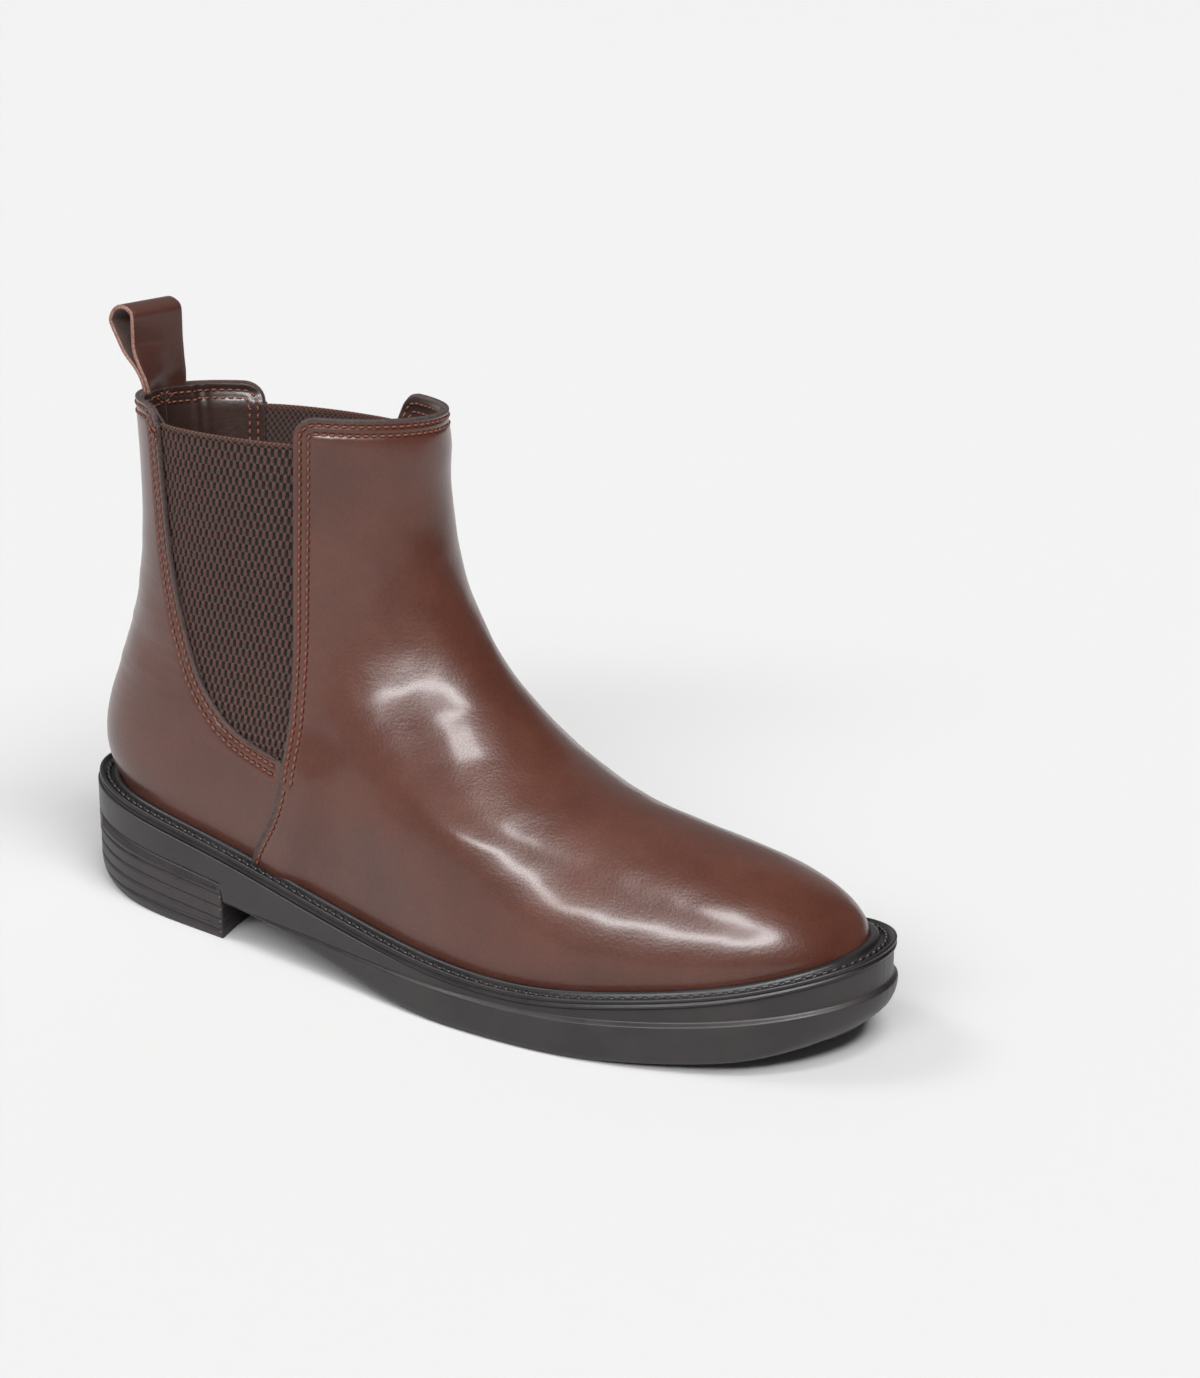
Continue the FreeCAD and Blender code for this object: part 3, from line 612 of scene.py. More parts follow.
def leather(name, deep, pale, rough, grain):
    """Smooth finished leather: cloudy dye, fine pores, faint stretch lines."""
    n = Nodes(name)
    place = n.where()
    clouds = n.noise(place, 34, 4, 0.6)
    speckle = n.noise(place, 0.9, 4, 0.7)
    tone = n.math("ADD", n.math("MULTIPLY", clouds, 0.6), n.math("MULTIPLY", speckle, 0.4))
    base = n.mix(n.ramp(tone, 0.3, 0.72), deep, pale)
    pores = n.cells(place, 0.95, "SMOOTH_F1")
    lines = n.noise(n.where(stretch=(0.25, 0.25, 1)), 1.3, 5, 0.65, 0.6)
    pits = n.ramp(n.cells(place, 1.7), 0.0, 0.16)
    base = n.mix(n.ramp(pits, 0.0, 1.0, 0.125, 0.0), base, deep, "MULTIPLY")
    n.set(Base_Color=base, IOR=1.5, Specular_IOR_Level=0.42, Coat_Weight=0.45, Coat_Roughness=0.17)
    n.set(Roughness=n.ramp(n.sum(clouds, speckle, 0.35), 0.4, 0.95, rough, rough + 0.07))
    first = n.bump(pores, 0.30 * grain, 0.12)
    second = n.bump(lines, 0.22 * grain, 0.25, first)
    n.set(Normal=n.bump(pits, 0.35 * grain, 0.05, second))
    return n.mat


def raw_edge(name, dark, pale):
    """Cut edge of leather: painted, with fibres showing through."""
    n = Nodes(name)
    fibres = n.noise(n.where(), 0.7, 5, 0.7, 0.4)
    n.set(Base_Color=n.mix(n.ramp(fibres, 0.38, 0.68), dark, pale))
    n.set(Roughness=n.ramp(fibres, 0.3, 0.7, 0.55, 0.8))
    n.set(Normal=n.bump(fibres, 0.5, 0.25))
    return n.mat


def suede(name, dark, pale):
    """Flesh side of leather: short nap."""
    n = Nodes(name)
    place = n.where()
    nap = n.noise(place, 0.55, 6, 0.75, 0.8)
    patches = n.noise(place, 5, 3)
    tone = n.math("ADD", n.math("MULTIPLY", nap, 0.7), n.math("MULTIPLY", patches, 0.3))
    n.set(Base_Color=n.mix(n.ramp(tone, 0.35, 0.65), dark, pale), Roughness=0.92)
    n.set(Sheen_Weight=0.25, Sheen_Roughness=0.5, Normal=n.bump(nap, 0.7, 0.4))
    return n.mat


WEAVE_X = 1.35
WEAVE_Y = 2.81
WEAVE_SLANT = 0.142
WEAVE_STRETCH = 1.06
WEAVE_DEPTH = 0.85


def elastic(name, rib, gap_shade, size_x, size_y):
    """Webbing: staggered ribs of yarn, with near-black painted shade in the openings between them, on the
    panel's own millimetres.
    """
    n = Nodes(name)
    uv = n.node("UVMap", uv_map="panel").outputs[0]
    split = n.node("SeparateXYZ", {"Vector": uv})
    a = n.math("COSINE", n.math("MULTIPLY", split.outputs[0], math.pi * UV_UNIT / size_x))
    b = n.math("COSINE", n.math("MULTIPLY", split.outputs[1], math.pi * UV_UNIT / size_y))
    open_share = n.ramp(n.math("MULTIPLY", a, b), -0.06, 0.1)
    yarn = n.noise(n.where(stretch=(1, 1, 0.3)), 0.35, 4, 0.7)
    tint = n.mix(n.ramp(yarn, 0.35, 0.7), colour(rib, 0.65), colour(rib, 1.25))
    # the openings take the second colour: painted shade where the hollows between the ribs fall dark
    n.set(Base_Color=n.mix(open_share, tint, colour(gap_shade)), Sheen_Weight=0.05)
    n.set(Roughness=n.ramp(yarn, 0.3, 0.7, 0.62, 0.85))
    height = n.math("SUBTRACT", n.math("MULTIPLY", yarn, 0.3), open_share)
    n.set(Normal=n.bump(height, 0.5, 0.5))
    return n.mat


def thread(name, deep, pale):
    """Waxed polyester thread."""
    n = Nodes(name)
    strands = n.noise(n.where(), 0.3, 3, 0.6, 1.2)
    n.set(Base_Color=n.mix(n.ramp(strands, 0.35, 0.65), deep, pale), Roughness=0.55)
    n.set(Normal=n.bump(strands, 0.6, 0.15))
    return n.mat


def rubber(name, base, rough, dust):
    """Moulded satin rubber with a very fine spark-erosion texture."""
    n = Nodes(name)
    place = n.where()
    fine = n.noise(place, 0.45, 4, 0.7)
    broad = n.noise(place, 17, 4, 0.6)
    n.set(Base_Color=n.mix(n.ramp(broad, 0.35, 0.7, 0.0, dust), base, colour("#5a5050")))
    n.set(Roughness=n.ramp(n.sum(broad, fine, 0.4), 0.4, 1.0, rough, rough + 0.16))
    n.set(Normal=n.bump(fine, 0.22, 0.1))
    return n.mat


def cork_mat(name):
    """Pressed cork crumbs."""
    n = Nodes(name)
    crumbs = n.cells(n.where(), 2.0)
    tone = n.mix(n.ramp(crumbs, 0.1, 0.7), colour("#b48a5c"), colour("#6d4a2b"))
    n.set(Base_Color=tone, Roughness=0.85)
    n.set(Normal=n.bump(crumbs, 0.6, 0.4))
    return n.mat


def board_mat(name, base, dark):
    """Pressed fibre board."""
    n = Nodes(name)
    fibres = n.noise(n.where(stretch=(0.2, 1, 1)), 0.8, 5, 0.7, 0.5)
    n.set(Base_Color=n.mix(n.ramp(fibres, 0.35, 0.7), dark, base), Roughness=0.88)
    n.set(Normal=n.bump(fibres, 0.4, 0.2))
    return n.mat


def steel_mat(name):
    """Brushed spring steel."""
    n = Nodes(name)
    brushed = n.noise(n.where(stretch=(0.05, 1, 1)), 0.5, 4, 0.7)
    n.set(Base_Color=n.mix(brushed, colour("#8d9094"), colour("#c3c6c9")), Metallic=1.0)
    n.set(Roughness=n.ramp(brushed, 0.3, 0.7, 0.25, 0.45), Normal=n.bump(brushed, 0.2, 0.1))
    return n.mat


BROWN = leather("brown_leather", colour("#43231a"), colour("#563025"), 0.32, 1.4)
LOOP_FACE = leather("loop_leather", colour("#3b1d16"), colour("#4b271e"), 0.5, 0.8)
EDGE = raw_edge("painted_edge", colour("#2c2422"), colour("#54443f"))
PALE_EDGE = raw_edge("cut_edge", colour("#6b4a40"), colour("#a27b6d"))
FLESH = suede("flesh_side", colour("#33221d"), colour("#5a4038"))
LINING_MAT = leather("lining_leather", colour("#2a1b17"), colour("#3a2924"), 0.40, 1.6)
SOCK_MAT = leather("sock_leather", colour("#2e1d18"), colour("#42302a"), 0.5, 1.2)
# each webbing's second colour is painted shade for the openings between its ribs
ELASTIC_MAT = elastic("elastic_webbing", "#4f3027", "#030202", WEAVE_X, WEAVE_Y)
ELASTIC_IN = elastic("elastic_inside", "#4a3029", "#120a08", 1.1, 1.3)
SELVEDGE = elastic("elastic_selvedge", "#5d3526", "#2a1711", 0.9, 0.7)
THREAD = thread("stitching_thread", colour("#54291d"), colour("#804a38"))
RUBBER = rubber("sole_rubber", colour("#221e1f"), 0.33, 0.1)
HEEL_RUBBER = rubber("heel_rubber", colour("#262122"), 0.4, 0.14)
WELT_RUBBER = rubber("welt_rubber", colour("#171415"), 0.3, 0.05)
CORK = cork_mat("cork")
BOARD = board_mat("insole_board", colour("#b79b76"), colour("#8a6e4d"))
STIFF = board_mat("stiffener", colour("#d8d2c4"), colour("#a9a294"))
STEEL = steel_mat("shank_steel")

NODE_LOOKS = {"cork_filler_heel": CORK, "cork_filler_forepart": CORK, "insole_board_heel": BOARD,
              "insole_board_forepart": BOARD, "toe_puff": STIFF, "heel_counter": STIFF, "steel_shank": STEEL}
for node, look in NODE_LOOKS.items():
    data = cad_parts[node].data
    data.materials.clear()
    data.materials.append(look)


# ---------------------------------------------------------------- how pieces move
# where each soft piece starts to follow the second body, and where it follows it fully
FLEX = ((165.0, 0.0, 20.0), (240.0, 0.0, 20.0))
ANKLE = ((20.0, 0.0, 72.0), (20.0, 0.0, 122.0))
GORE = ((97.0, 0.0, 100.0), (45.0, 0.0, 117.5))
LOOP_BEND = ((27.0, 0.0, 179.0), (27.0, 0.0, 187.0))
BENDS = {"toe": ("foot", "forepart", FLEX), "shaft": ("foot", "shaft_back", ANKLE),
         "gusset": ("foot", "shaft_back", GORE), "loop": ("shaft_back", "loop", LOOP_BEND)}


def bends(ob, way):
    """Parents a finished piece to its body's empty; for the bending ways in BENDS it only bakes the piece's
    transform.
    """
    if way in BENDS:
        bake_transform(ob)
    else:
        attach(ob, way)
    return ob


# ---------------------------------------------------------------- stitching
def stitches(name, lines, way, pitch=2.7, length=2.15, thick=0.42, mat=None, proud=0.05):
    """Rows of thread: every stitch is a short, arched, round-ended strand."""
    along_count = 7
    around = 8
    shape = np.linspace(-1, 1, along_count)
    swell = np.sqrt(np.clip(1 - np.abs(shape) ** 3, 0.02, 1))
    turn_angle = np.arange(around) * 2 * math.pi / around
    verts = []
    for points, ways in lines:
        run = np.concatenate([[0], np.cumsum(np.linalg.norm(np.diff(points, axis=0), axis=-1))])
        count = int(run[-1] / pitch)
        middle = (np.arange(count) + 0.5) * run[-1] / max(1, count)
        s = middle[:, None] + shape * length / 2
        centre_line = np.stack([np.interp(s, run, points[:, c]) for c in range(3)], -1)
        up = unit(np.stack([np.interp(s, run, ways[:, c]) for c in range(3)], -1))
        forward = unit(np.gradient(centre_line, axis=1))
        side = np.cross(up, forward)
        centre_line = centre_line + up * (proud - 0.28 * shape ** 2)[None, :, None]
        ring = side[:, :, None] * np.cos(turn_angle)[:, None]
        ring = ring + up[:, :, None] * 0.8 * np.sin(turn_angle)[:, None]
        verts.append(centre_line[:, :, None] + ring * (thick * swell)[None, :, None, None])
    verts = np.concatenate(verts)
    count = len(verts)
    index = np.arange(count * along_count * around).reshape(count, along_count, around)
    caps = np.concatenate([index[:, 0], index[:, -1, ::-1]])
    ob = mesh_object(name, verts.reshape(-1, 3), [*tube_quads(index).tolist(), *caps.tolist()])
    ob.data.materials.append(mat or THREAD)
    return bends(ob, way)


STITCH_ROWS = (2.3, 5.2)
LINING_DROP = 0.8

# ---------------------------------------------------------------- vamp and its lining
def top_share(phi_of_t, limit):
    """Highest t at which the surface stays below limit(x), for each angle."""
    def below(t):
        phi = phi_of_t(t)
        return collar_level(phi, t) < limit(side_point(phi, t)[0])

    count = len(phi_of_t(np.array(0.5)))
    return solve(below, np.full(count, 0.5), np.full(count, 1.0))


def collar_front(drop):
    """Top edge of the vamp over x, with its rounded corners."""
    corner = VAMP_SEAM[-1][1]

    def limit(x):
        reach = np.clip((corner + CORNER - x) / CORNER, 0, 1)
        return SHAFT_HEIGHT - drop - CORNER * (1 - np.sqrt(1 - reach ** 2))

    return limit


def vamp_grid(columns, rows, drop):
    """Angle and height shares from one side seam round the toe to the other."""
    u = columns * 2 - 1

    def edge(t):
        return seam(t) - turn(seam(t), t, SEAM_GAP / 2)

    tops = top_share(lambda t: u * edge(t), collar_front(drop))
    t = tops[:, None] * rows[None, :]
    return u[:, None] * edge(t), t


def from_sides(panel):
    """Distance of every grid point from the panel's two side edges, along its row."""
    return np.minimum(panel.run_u, panel.run_u[-1:] - panel.run_u)


columns = graded(0.5, 9.0, 1.7, 210.0)
rows = graded(0.4, 8.0, 1.3, 190.0)
phi, t = vamp_grid(columns, rows, 0.0)
vamp = Panel(phi, t, 0.0, LEATHER)
from_edge = from_sides(vamp)
from_top = vamp.run_v[:, -1:] - vamp.run_v
# below the elastic, the vamp's side edges lie on top of the quarters
low = 1 - ease(GUSSET_LOW - 5, GUSSET_LOW + 16, vamp.base[..., 2])
vamp.lift(SECOND * low * (1 - ease(SEAM_LAP + 2, SEAM_LAP + 18, from_edge)))
# a soft roll under the collar, which the stitching pulls in
COLLAR_PUFF = 0.9
COLLAR_PULL = 0.25
puff = hump(from_top, 13, 6.5) * ease(6, 14, from_edge)
pull = (1 - ease(4, 9, from_top)) * ease(3, 9, from_edge)
vamp.lift(COLLAR_PUFF * puff - COLLAR_PULL * pull)
UNEVEN = 0.16
inland = ease(2, 14, from_edge) * ease(2, 14, from_top) * ease(0, 12, vamp.run_v)
vamp.lift(UNEVEN * smooth_noise(vamp.base, 30, SEED) * inland)


def around_collar(i, j):
    sides = (i == 0) | (i == vamp.m - 1)
    return (j == vamp.n - 1) | sides & (vamp.base[i, j, 2] > GUSSET_LOW - 6)


def under_window(i, j, e):
    return (i == e) & (vamp.base[i, j, 2] <= GUSSET_LOW - 7) & (j > 1)


SIDE_ROW = 2.6
collar_rows = [vamp.path(around_collar, d) for d in STITCH_ROWS]
side_rows = [vamp.path(lambda i, j, e=e: under_window(i, j, e), SIDE_ROW) for e in (0, vamp.m - 1)]
vamp.press(collar_rows + side_rows)
# the vamp's side and top strips show the dark edge material: real edge paint, and painted shade along its
# lapped side edges
FRONT_STRIP = np.s_[0, :]
END_STRIP = np.s_[-1, :]
TOP_STRIP = np.s_[:, -1]
vamp_ob = vamp.build("vamp", BROWN, EDGE, FLESH, (FRONT_STRIP, END_STRIP, TOP_STRIP))
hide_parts("vamp_shaft", "vamp_toe", "vamp_crease")
bends(vamp_ob, "toe")
stitches("vamp_stitching", collar_rows + side_rows, "foot")


def lining_depth(t, phi):
    """The lining comes out to meet the leather above the elastic's top edge."""
    return THIRD - (THIRD - LEATHER - 0.12) * ease(GUSSET_TOP - 1, GUSSET_TOP + 4, collar_level(phi, t))


phi, t = vamp_grid(graded(1.2, 8.0, 3.5, 210.0), np.linspace(0.02, 1, 90), LINING_DROP)
vamp_lining = Panel(phi, t, lining_depth(t, phi), LINING, 0.3)
lining_top = vamp_lining.n - 1
lining_rows = [vamp_lining.path(lambda i, j: j == lining_top, d, inside=True) for d in STITCH_ROWS]
vamp_lining.press(lining_rows, 0.2, 0.9, inside=True)
vamp_lining_ob = vamp_lining.build("vamp_lining", FLESH, EDGE, LINING_MAT)
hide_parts("vamp_lining_shaft", "vamp_lining_toe", "vamp_lining_crease")
bends(vamp_lining_ob, "toe")
stitches("vamp_lining_stitching", lining_rows, "foot")


# ---------------------------------------------------------------- quarters, their linings and the elastic
def collar_back(drop):
    """Top edge of a quarter over x: level round the heel, then rounded down beside the gusset."""
    dip = QUARTER_TOP - GUSSET_TOP
    start = GUSSET_REAR[-1][1] - dip - 0.5

    def limit(x):
        reach = np.clip((x - start) / dip, 0, 1)
        return QUARTER_TOP - drop - dip * (1 - np.sqrt(1 - reach ** 2))

    return limit


BACK_SEAM = math.pi - 0.0035


def quarter_grid(columns, rows, drop, lap, sign):
    """Angle and height shares from the front edge (column 0) to the back seam."""
    def front(t):
        edge = seam(t)
        z = side_point(edge, t)[1]
        lapped = edge - turn(edge, t, lap)
        beside = np.maximum(rear(t), edge + turn(edge, t, SEAM_GAP / 2))
        return np.where(z < GUSSET_LOW, lapped, beside)

    def phi_at(t):
        return sign * (front(t) + (BACK_SEAM - front(t)) * columns)

    tops = top_share(phi_at, collar_back(drop))
    t = tops[:, None] * rows[None, :]
    return front(t) + (BACK_SEAM - front(t)) * columns[:, None], t


def dense_rows(fine, coarse, total=150.0):
    """Height shares with fine steps where the gusset's foot curves and at the collar."""
    marks = [0.0]
    while marks[-1] < total:
        near = 30 < marks[-1] < 56 or marks[-1] > total - 7
        marks.append(marks[-1] + (fine if near else coarse))
    marks = np.array(marks[:-1] + [total])
    marks[-2] = total - 0.75
    return np.unique(marks[marks <= total] / total)


ANKLE_CREASE = 0.30
SEAM_GROOVE = 0.35
SELVEDGE_ROWS = 4
LINING_FOLD = 0.9
LINING_RIPPLE = 0.22
for side, sign in (("lateral", -1), ("medial", 1)):
    columns = graded(0.45, 8.0, 1.3, 100.0)
    rows = dense_rows(0.3, 1.2)
    phi, t = quarter_grid(columns, rows, 0.0, SEAM_LAP, sign)
    quarter = Panel(sign * phi, t, 0.0, LEATHER)
    near_seam = quarter.run_u[-1:] - quarter.run_u
    crease = smooth_noise(quarter.base * np.array([0.35, 0.35, 1.0]), 14, SEED + 1)
    ankle = hump(quarter.base[..., 2], 100, 26) * ease(2, 12, quarter.run_u) * ease(0, 6, near_seam)
    quarter.lift(ANKLE_CREASE * crease * ankle - SEAM_GROOVE * np.exp(-near_seam / 1.2))

    def open_edge(i, j, q=quarter):
        return (j == q.n - 1) | (i == 0) & (q.base[i, j, 2] > GUSSET_LOW + 0.3)

    rows_out = [quarter.path(open_edge, d) for d in STITCH_ROWS]
    quarter.press(rows_out)
    # the quarter's front and top strips show the dark edge material: real edge paint, and painted shade
    # along its front edge
    ob = quarter.build("back_panel_" + side, BROWN, EDGE, FLESH, (FRONT_STRIP, TOP_STRIP))
    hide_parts("quarter_%s_heel" % side, "quarter_%s_shaft" % side)
    bends(ob, "shaft")
    stitches("quarter_stitching_" + side, rows_out, "shaft")

    # the lining passes behind the ends of the pull loop, and is creased beside them
    columns = graded(0.9, 8.0, 1.8, 90.0)
    phi, t = quarter_grid(columns, dense_rows(0.5, 1.6), LINING_DROP, 0.0, sign)
    depth = lining_depth(t, sign * phi)
    on_last = surface(phi, t)
    from_back = run_length(on_last, 0)
    from_back = from_back[-1:] - from_back
    beside_loop = ease(LOOP_WIDTH / 2 + 1, LOOP_WIDTH / 2 + 5, from_back)
    back_top = BACK_LINE[1][-1]
    sewn_in = (1 - beside_loop) * ease(back_top - 30, back_top - 20, on_last[..., 2])
    lining = Panel(sign * phi, t, depth + (THIRD - depth) * sewn_in, LINING, 0.3)
    high = ease(80, 150, lining.base[..., 2])
    folds = hump(from_back, 15, 1.6) + 0.8 * hump(from_back, 19.5, 1.3)
    lining.inner = lining.inner - lining.normal * (LINING_FOLD * folds * high)[..., None]
    ripple = smooth_noise(lining.base * np.array([1.0, 1.0, 0.5]), 11, SEED + 2)
    ripple = ripple * ease(2, 10, lining.run_u)
    lining.inner = lining.inner - lining.normal * (LINING_RIPPLE * ripple)[..., None]

    def open_edge(i, j, q=lining):
        return (j == q.n - 1) | (i == 0) & (q.base[i, j, 2] > GUSSET_LOW + 4)

    rows_in = [lining.path(open_edge, d, inside=True) for d in STITCH_ROWS]
    lining.press(rows_in, 0.2, 0.8, inside=True)
    ob = lining.build("lining_" + side, FLESH, EDGE, LINING_MAT)
    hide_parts("quarter_lining_%s_heel" % side, "quarter_lining_%s_shaft" % side)
    bends(ob, "shaft")
    stitches("lining_stitching_" + side, rows_in, "shaft")

    # elastic: a level grid between its two sewn-in edges, pressed down between the ribs
    webbing_low = GUSSET_LOW - TUCK + 1.5
    middle_y = surface(sign * math.pi / 2, 0.9)[1]
    top = GUSSET_TOP - (middle_y + COLLAR_WIDTH / 2) * COLLAR_TILT
    heights = np.append(np.arange(webbing_low, top - 0.2, 0.45), top)
    t = np.interp(heights, SEAM_Z, T_TABLE)
    ahead = seam(t) - turn(seam(t), t, TUCK - 1)
    lowest = GUSSET_LOW + 0.2
    tucked = np.where(heights > lowest, rear(np.maximum(t, T_CORNER + 0.002)), seam(t))
    behind = np.maximum(tucked + turn(tucked, t, TUCK - 1), ahead + 0.25)
    phi = ahead + (behind - ahead) * np.linspace(0, 1, 200)[:, None]

    def lower(s, phi=phi, heights=heights):
        return side_point(phi, s)[1] < heights[None, :]

    t = solve(lower, np.zeros(phi.shape), np.ones(phi.shape), 26)
    webbing = Panel(sign * phi, t, SECOND, ELASTIC, 0.3)
    up = webbing.base[..., 2] - GUSSET_LOW
    across = (webbing.base[..., 0] - 100.0 - WEAVE_SLANT * up) * WEAVE_STRETCH
    webbing.run_u = across
    webbing.run_v = up
    pattern = np.cos(across * math.pi / WEAVE_X) * np.cos(up * math.pi / WEAVE_Y)
    body = ease(0.8, 1.8, top - webbing.base[..., 2])
    hollow = WEAVE_DEPTH * ease(-0.1, 0.25, pattern)
    webbing.lift(-hollow * body + 0.1 * (1 - body), inner=False)
    ob = webbing.build("elastic_" + side, ELASTIC_MAT, SELVEDGE, ELASTIC_IN)
    ob.data.materials.append(SELVEDGE)
    kind = np.zeros(len(ob.data.polygons), int)
    ob.data.polygons.foreach_get("material_index", kind)
    count = (webbing.m - 1) * (webbing.n - 1)
    row = np.arange(count) % (webbing.n - 1)
    for first in (0, count):
        kind[first:first + count][row >= webbing.n - SELVEDGE_ROWS] = 3
    ob.data.polygons.foreach_set("material_index", kind)
    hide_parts("gusset_" + side)
    bends(ob, "gusset")


# ---------------------------------------------------------------- sole
def sole_bottom(x):
    """Height of the underside above the ground."""
    s = np.clip((BALL_X - x) / (BALL_X - HEEL_LENGTH), 0, 1)
    spring = np.maximum(0, (x - SPRING_X) / (BOOT_LENGTH - SPRING_X))
    toe = TOE_SPRING * spring ** SPRING_POWER + EXTRA_SPRING * spring ** 4
    return HEEL_BREAST * s * s * (3 - 2 * s) + toe


# heights above the ground: of the side wall's step, and of the heel's grooves at the back and at the breast
LEDGE = spline([(74, 13.3), (125, 12.7), (165, 12.4), (200, 12.8), (232, 14.8), (265, 18.6), (300, 24.5)])
HEEL_LINES = [(5.3, 2.8), (10.3, 6.6), (15.3, 10.9), (20.3, 15.3), (25.8, 19.6)]
STATIONS = 900


def stations(side=MARGIN, end=END_MARGIN, count=STATIONS):
    """The outline's two sides, each from the toe to the heel, at paired angles."""
    phi = (np.arange(count // 2) + 0.5) / (count // 2) * math.pi
    return [outline(sign * phi, 0.01, side, end) for sign in (-1, 1)]


def slab(name, sides, section, across, mat):
    """Closed solid lofted from the toe to the heel.

    section(here, out, stand) gives each side's profile (station, row, 3), top to bottom;
    across(top, x, y) gives the height of the top (True) or the underside (False)."""
    profiles = [section(*side) for side in sides]
    steps = np.linspace(0, 1, 42)[1:-1]
    loops = []
    for top in (True, False):
        row = 0 if top else -1
        left = profiles[0][:, row]
        right = profiles[1][:, row]
        span = left[:, None] + (right - left)[:, None] * steps[None, :, None]
        span[..., 2] = across(top, span[..., 0], span[..., 1])
        loops.append(span)
    ring = np.concatenate([profiles[0], loops[1], profiles[1][:, ::-1], loops[0][:, ::-1]], axis=1)
    count, size = ring.shape[:2]
    index = np.arange(count * size).reshape(count, size)
    rows = profiles[0].shape[1]
    wide = len(steps)
    caps = []
    for k in (0, count - 1):
        left = index[k, :rows]
        under = index[k, rows:rows + wide]
        right = index[k, rows + wide:2 * rows + wide][::-1]
        over = index[k, 2 * rows + wide:][::-1]
        for r in range(1, rows - 2):
            caps.append([left[r], left[r + 1], right[r + 1], right[r]])
        caps.append([left[0], *over, right[0], right[1], left[1]])
        caps.append([left[-2], right[-2], right[-1], *under[::-1], left[-1]])
    ob = mesh_object(name, ring.reshape(-1, 3), tube_quads(index).tolist() + caps)
    ob.data.materials.append(mat)
    return ob


STEP_BACK = 1.5
WAIST_GROOVE = 0.55
HEEL_GROOVE = 0.75


def edge_inset(x, z, low):
    """How far the sole's side wall stands back from its outline: step, grooves and rounded foot."""
    ledge = LEDGE(x)
    fore = ease(120, 190, x)
    inset = STEP_BACK * fore * ease(-0.9, 0.5, z - ledge)
    inset = inset + WAIST_GROOVE * (1 - fore) * ease(70, 80, x) * hump(z, ledge, 0.45)
    share = np.clip(x / HEEL_LENGTH, 0, 1)
    for behind, ahead in HEEL_LINES:
        line = behind + (ahead - behind) * share
        inset = inset + HEEL_GROOVE * (1 - ease(72, 75, x)) * hump(z, line, 0.42)
    tip = ease(262, 302, x)
    tuck = 3.0 + 6.5 * (1 - ease(0, 55, x)) + 9.0 * tip
    depth = 1.2 * fore + 0.8 + 3.6 * (1 - ease(0, 50, x)) + 8.0 * tip
    q = np.clip((low + tuck - z) / tuck, 0, 1)
    return inset + depth * (1 - np.sqrt(1 - q ** 2 * 0.98))


def wall(here, out, stand, high, low, rows, foot):
    """Side wall of the sole between two heights; foot is the underside's height above the ground."""
    share = np.linspace(0, 1, rows)[None, :]
    z = high[:, None] + (low - high)[:, None] * share
    rim = here + out * stand[:, None]
    above = (z - ground(rim[:, 0])[:, None]) * COS
    inset = edge_inset(rim[:, :1], above, foot[:, None])
    points = rim[:, None] - out[:, None] * inset[..., None]
    points[..., 2] = z
    return points


GLUE = 0.1
TREAD_PITCH = 7.5
TREAD_DEPTH = 1.3


def underside(x):
    """The outsole's underside above the ground: flat on the heel block, then the arch and the toe."""
    return np.where(x < HEEL_LENGTH, BLOCK_TOP + GLUE, sole_bottom(x))


def outsole_section(here, out, stand):
    x = (here + out * stand[:, None])[:, 0]
    foot = np.where(x < HEEL_LENGTH, 0.0, sole_bottom(x))
    return wall(here, out, stand, feather(x) - SOLE_TOP, ground(x, underside(x)), 60, foot)


def outsole_across(top, x, y):
    if top:
        return feather(x) - SOLE_TOP
    wave = np.cos((x + 0.018 * (y + 6) ** 2) * 2 * math.pi / TREAD_PITCH)
    tread = ease(150, 170, x) * (1 - ease(278, 288, x)) * (1 - ease(26, 33, np.abs(y + 5)))
    return ground(x, underside(x) + TREAD_DEPTH * ease(0.55, 0.9, wave) * tread)


outsole = slab("outsole", stations(), outsole_section, outsole_across, RUBBER)
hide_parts("outsole_waist", "outsole_forepart")
bends(outsole, "toe")


BREAST_X = HEEL_LENGTH - 0.5
BREAST_HOLLOW = 5.0


def heel_piece(name, high, low, node):
    """A layer of the heel: outline round the back, a hollowed breast in front, the wall's own grooves."""
    sides = stations(MARGIN - 0.2, END_MARGIN - 0.2, 700)
    here, out, stand = (np.concatenate([a, b[::-1]]) for a, b in zip(*sides))
    rim = here + out * stand[:, None]
    keep = rim[:, 0] < BREAST_X
    here, out, stand, rim = here[keep], out[keep], stand[keep], rim[keep]
    rows = max(14, int((high - low) / 0.3))
    levels = [ground(rim[:, 0], np.full(len(rim), z)) for z in (high, low)]
    points = wall(here, out, stand, *levels, rows, np.zeros(len(rim)))
    share = np.linspace(0, 1, 40)[1:-1, None, None]
    breast = points[-1:] + (points[:1] - points[-1:]) * share
    breast[..., 0] = BREAST_X - BREAST_HOLLOW * np.sin(np.pi * share[..., 0]) ** 0.8
    ring = np.concatenate([points, breast])
    count = len(ring)
    index = np.arange(count * rows).reshape(count, rows)
    nxt = np.roll(index, -1, 0)
    quads = np.stack([index[:, :-1], index[:, 1:], nxt[:, 1:], nxt[:, :-1]], -1).reshape(-1, 4)
    ends = [index[:, 0].tolist(), index[::-1, -1].tolist()]
    ob = mesh_object(name, ring.reshape(-1, 3), quads.tolist() + ends)
    flat = np.abs(np.array([p.normal.z for p in ob.data.polygons])) > 0.9
    ob.data.polygons.foreach_set("use_smooth", (~flat).tolist())
    ob.data.materials.append(HEEL_RUBBER)
    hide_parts(node)
    return bends(ob, "foot")


heel_piece("heel_block_rubber", BLOCK_TOP, TOP_PIECE + GLUE, "heel_block")
heel_piece("heel_top_piece_rubber", TOP_PIECE, 0.0, "heel_top_piece")

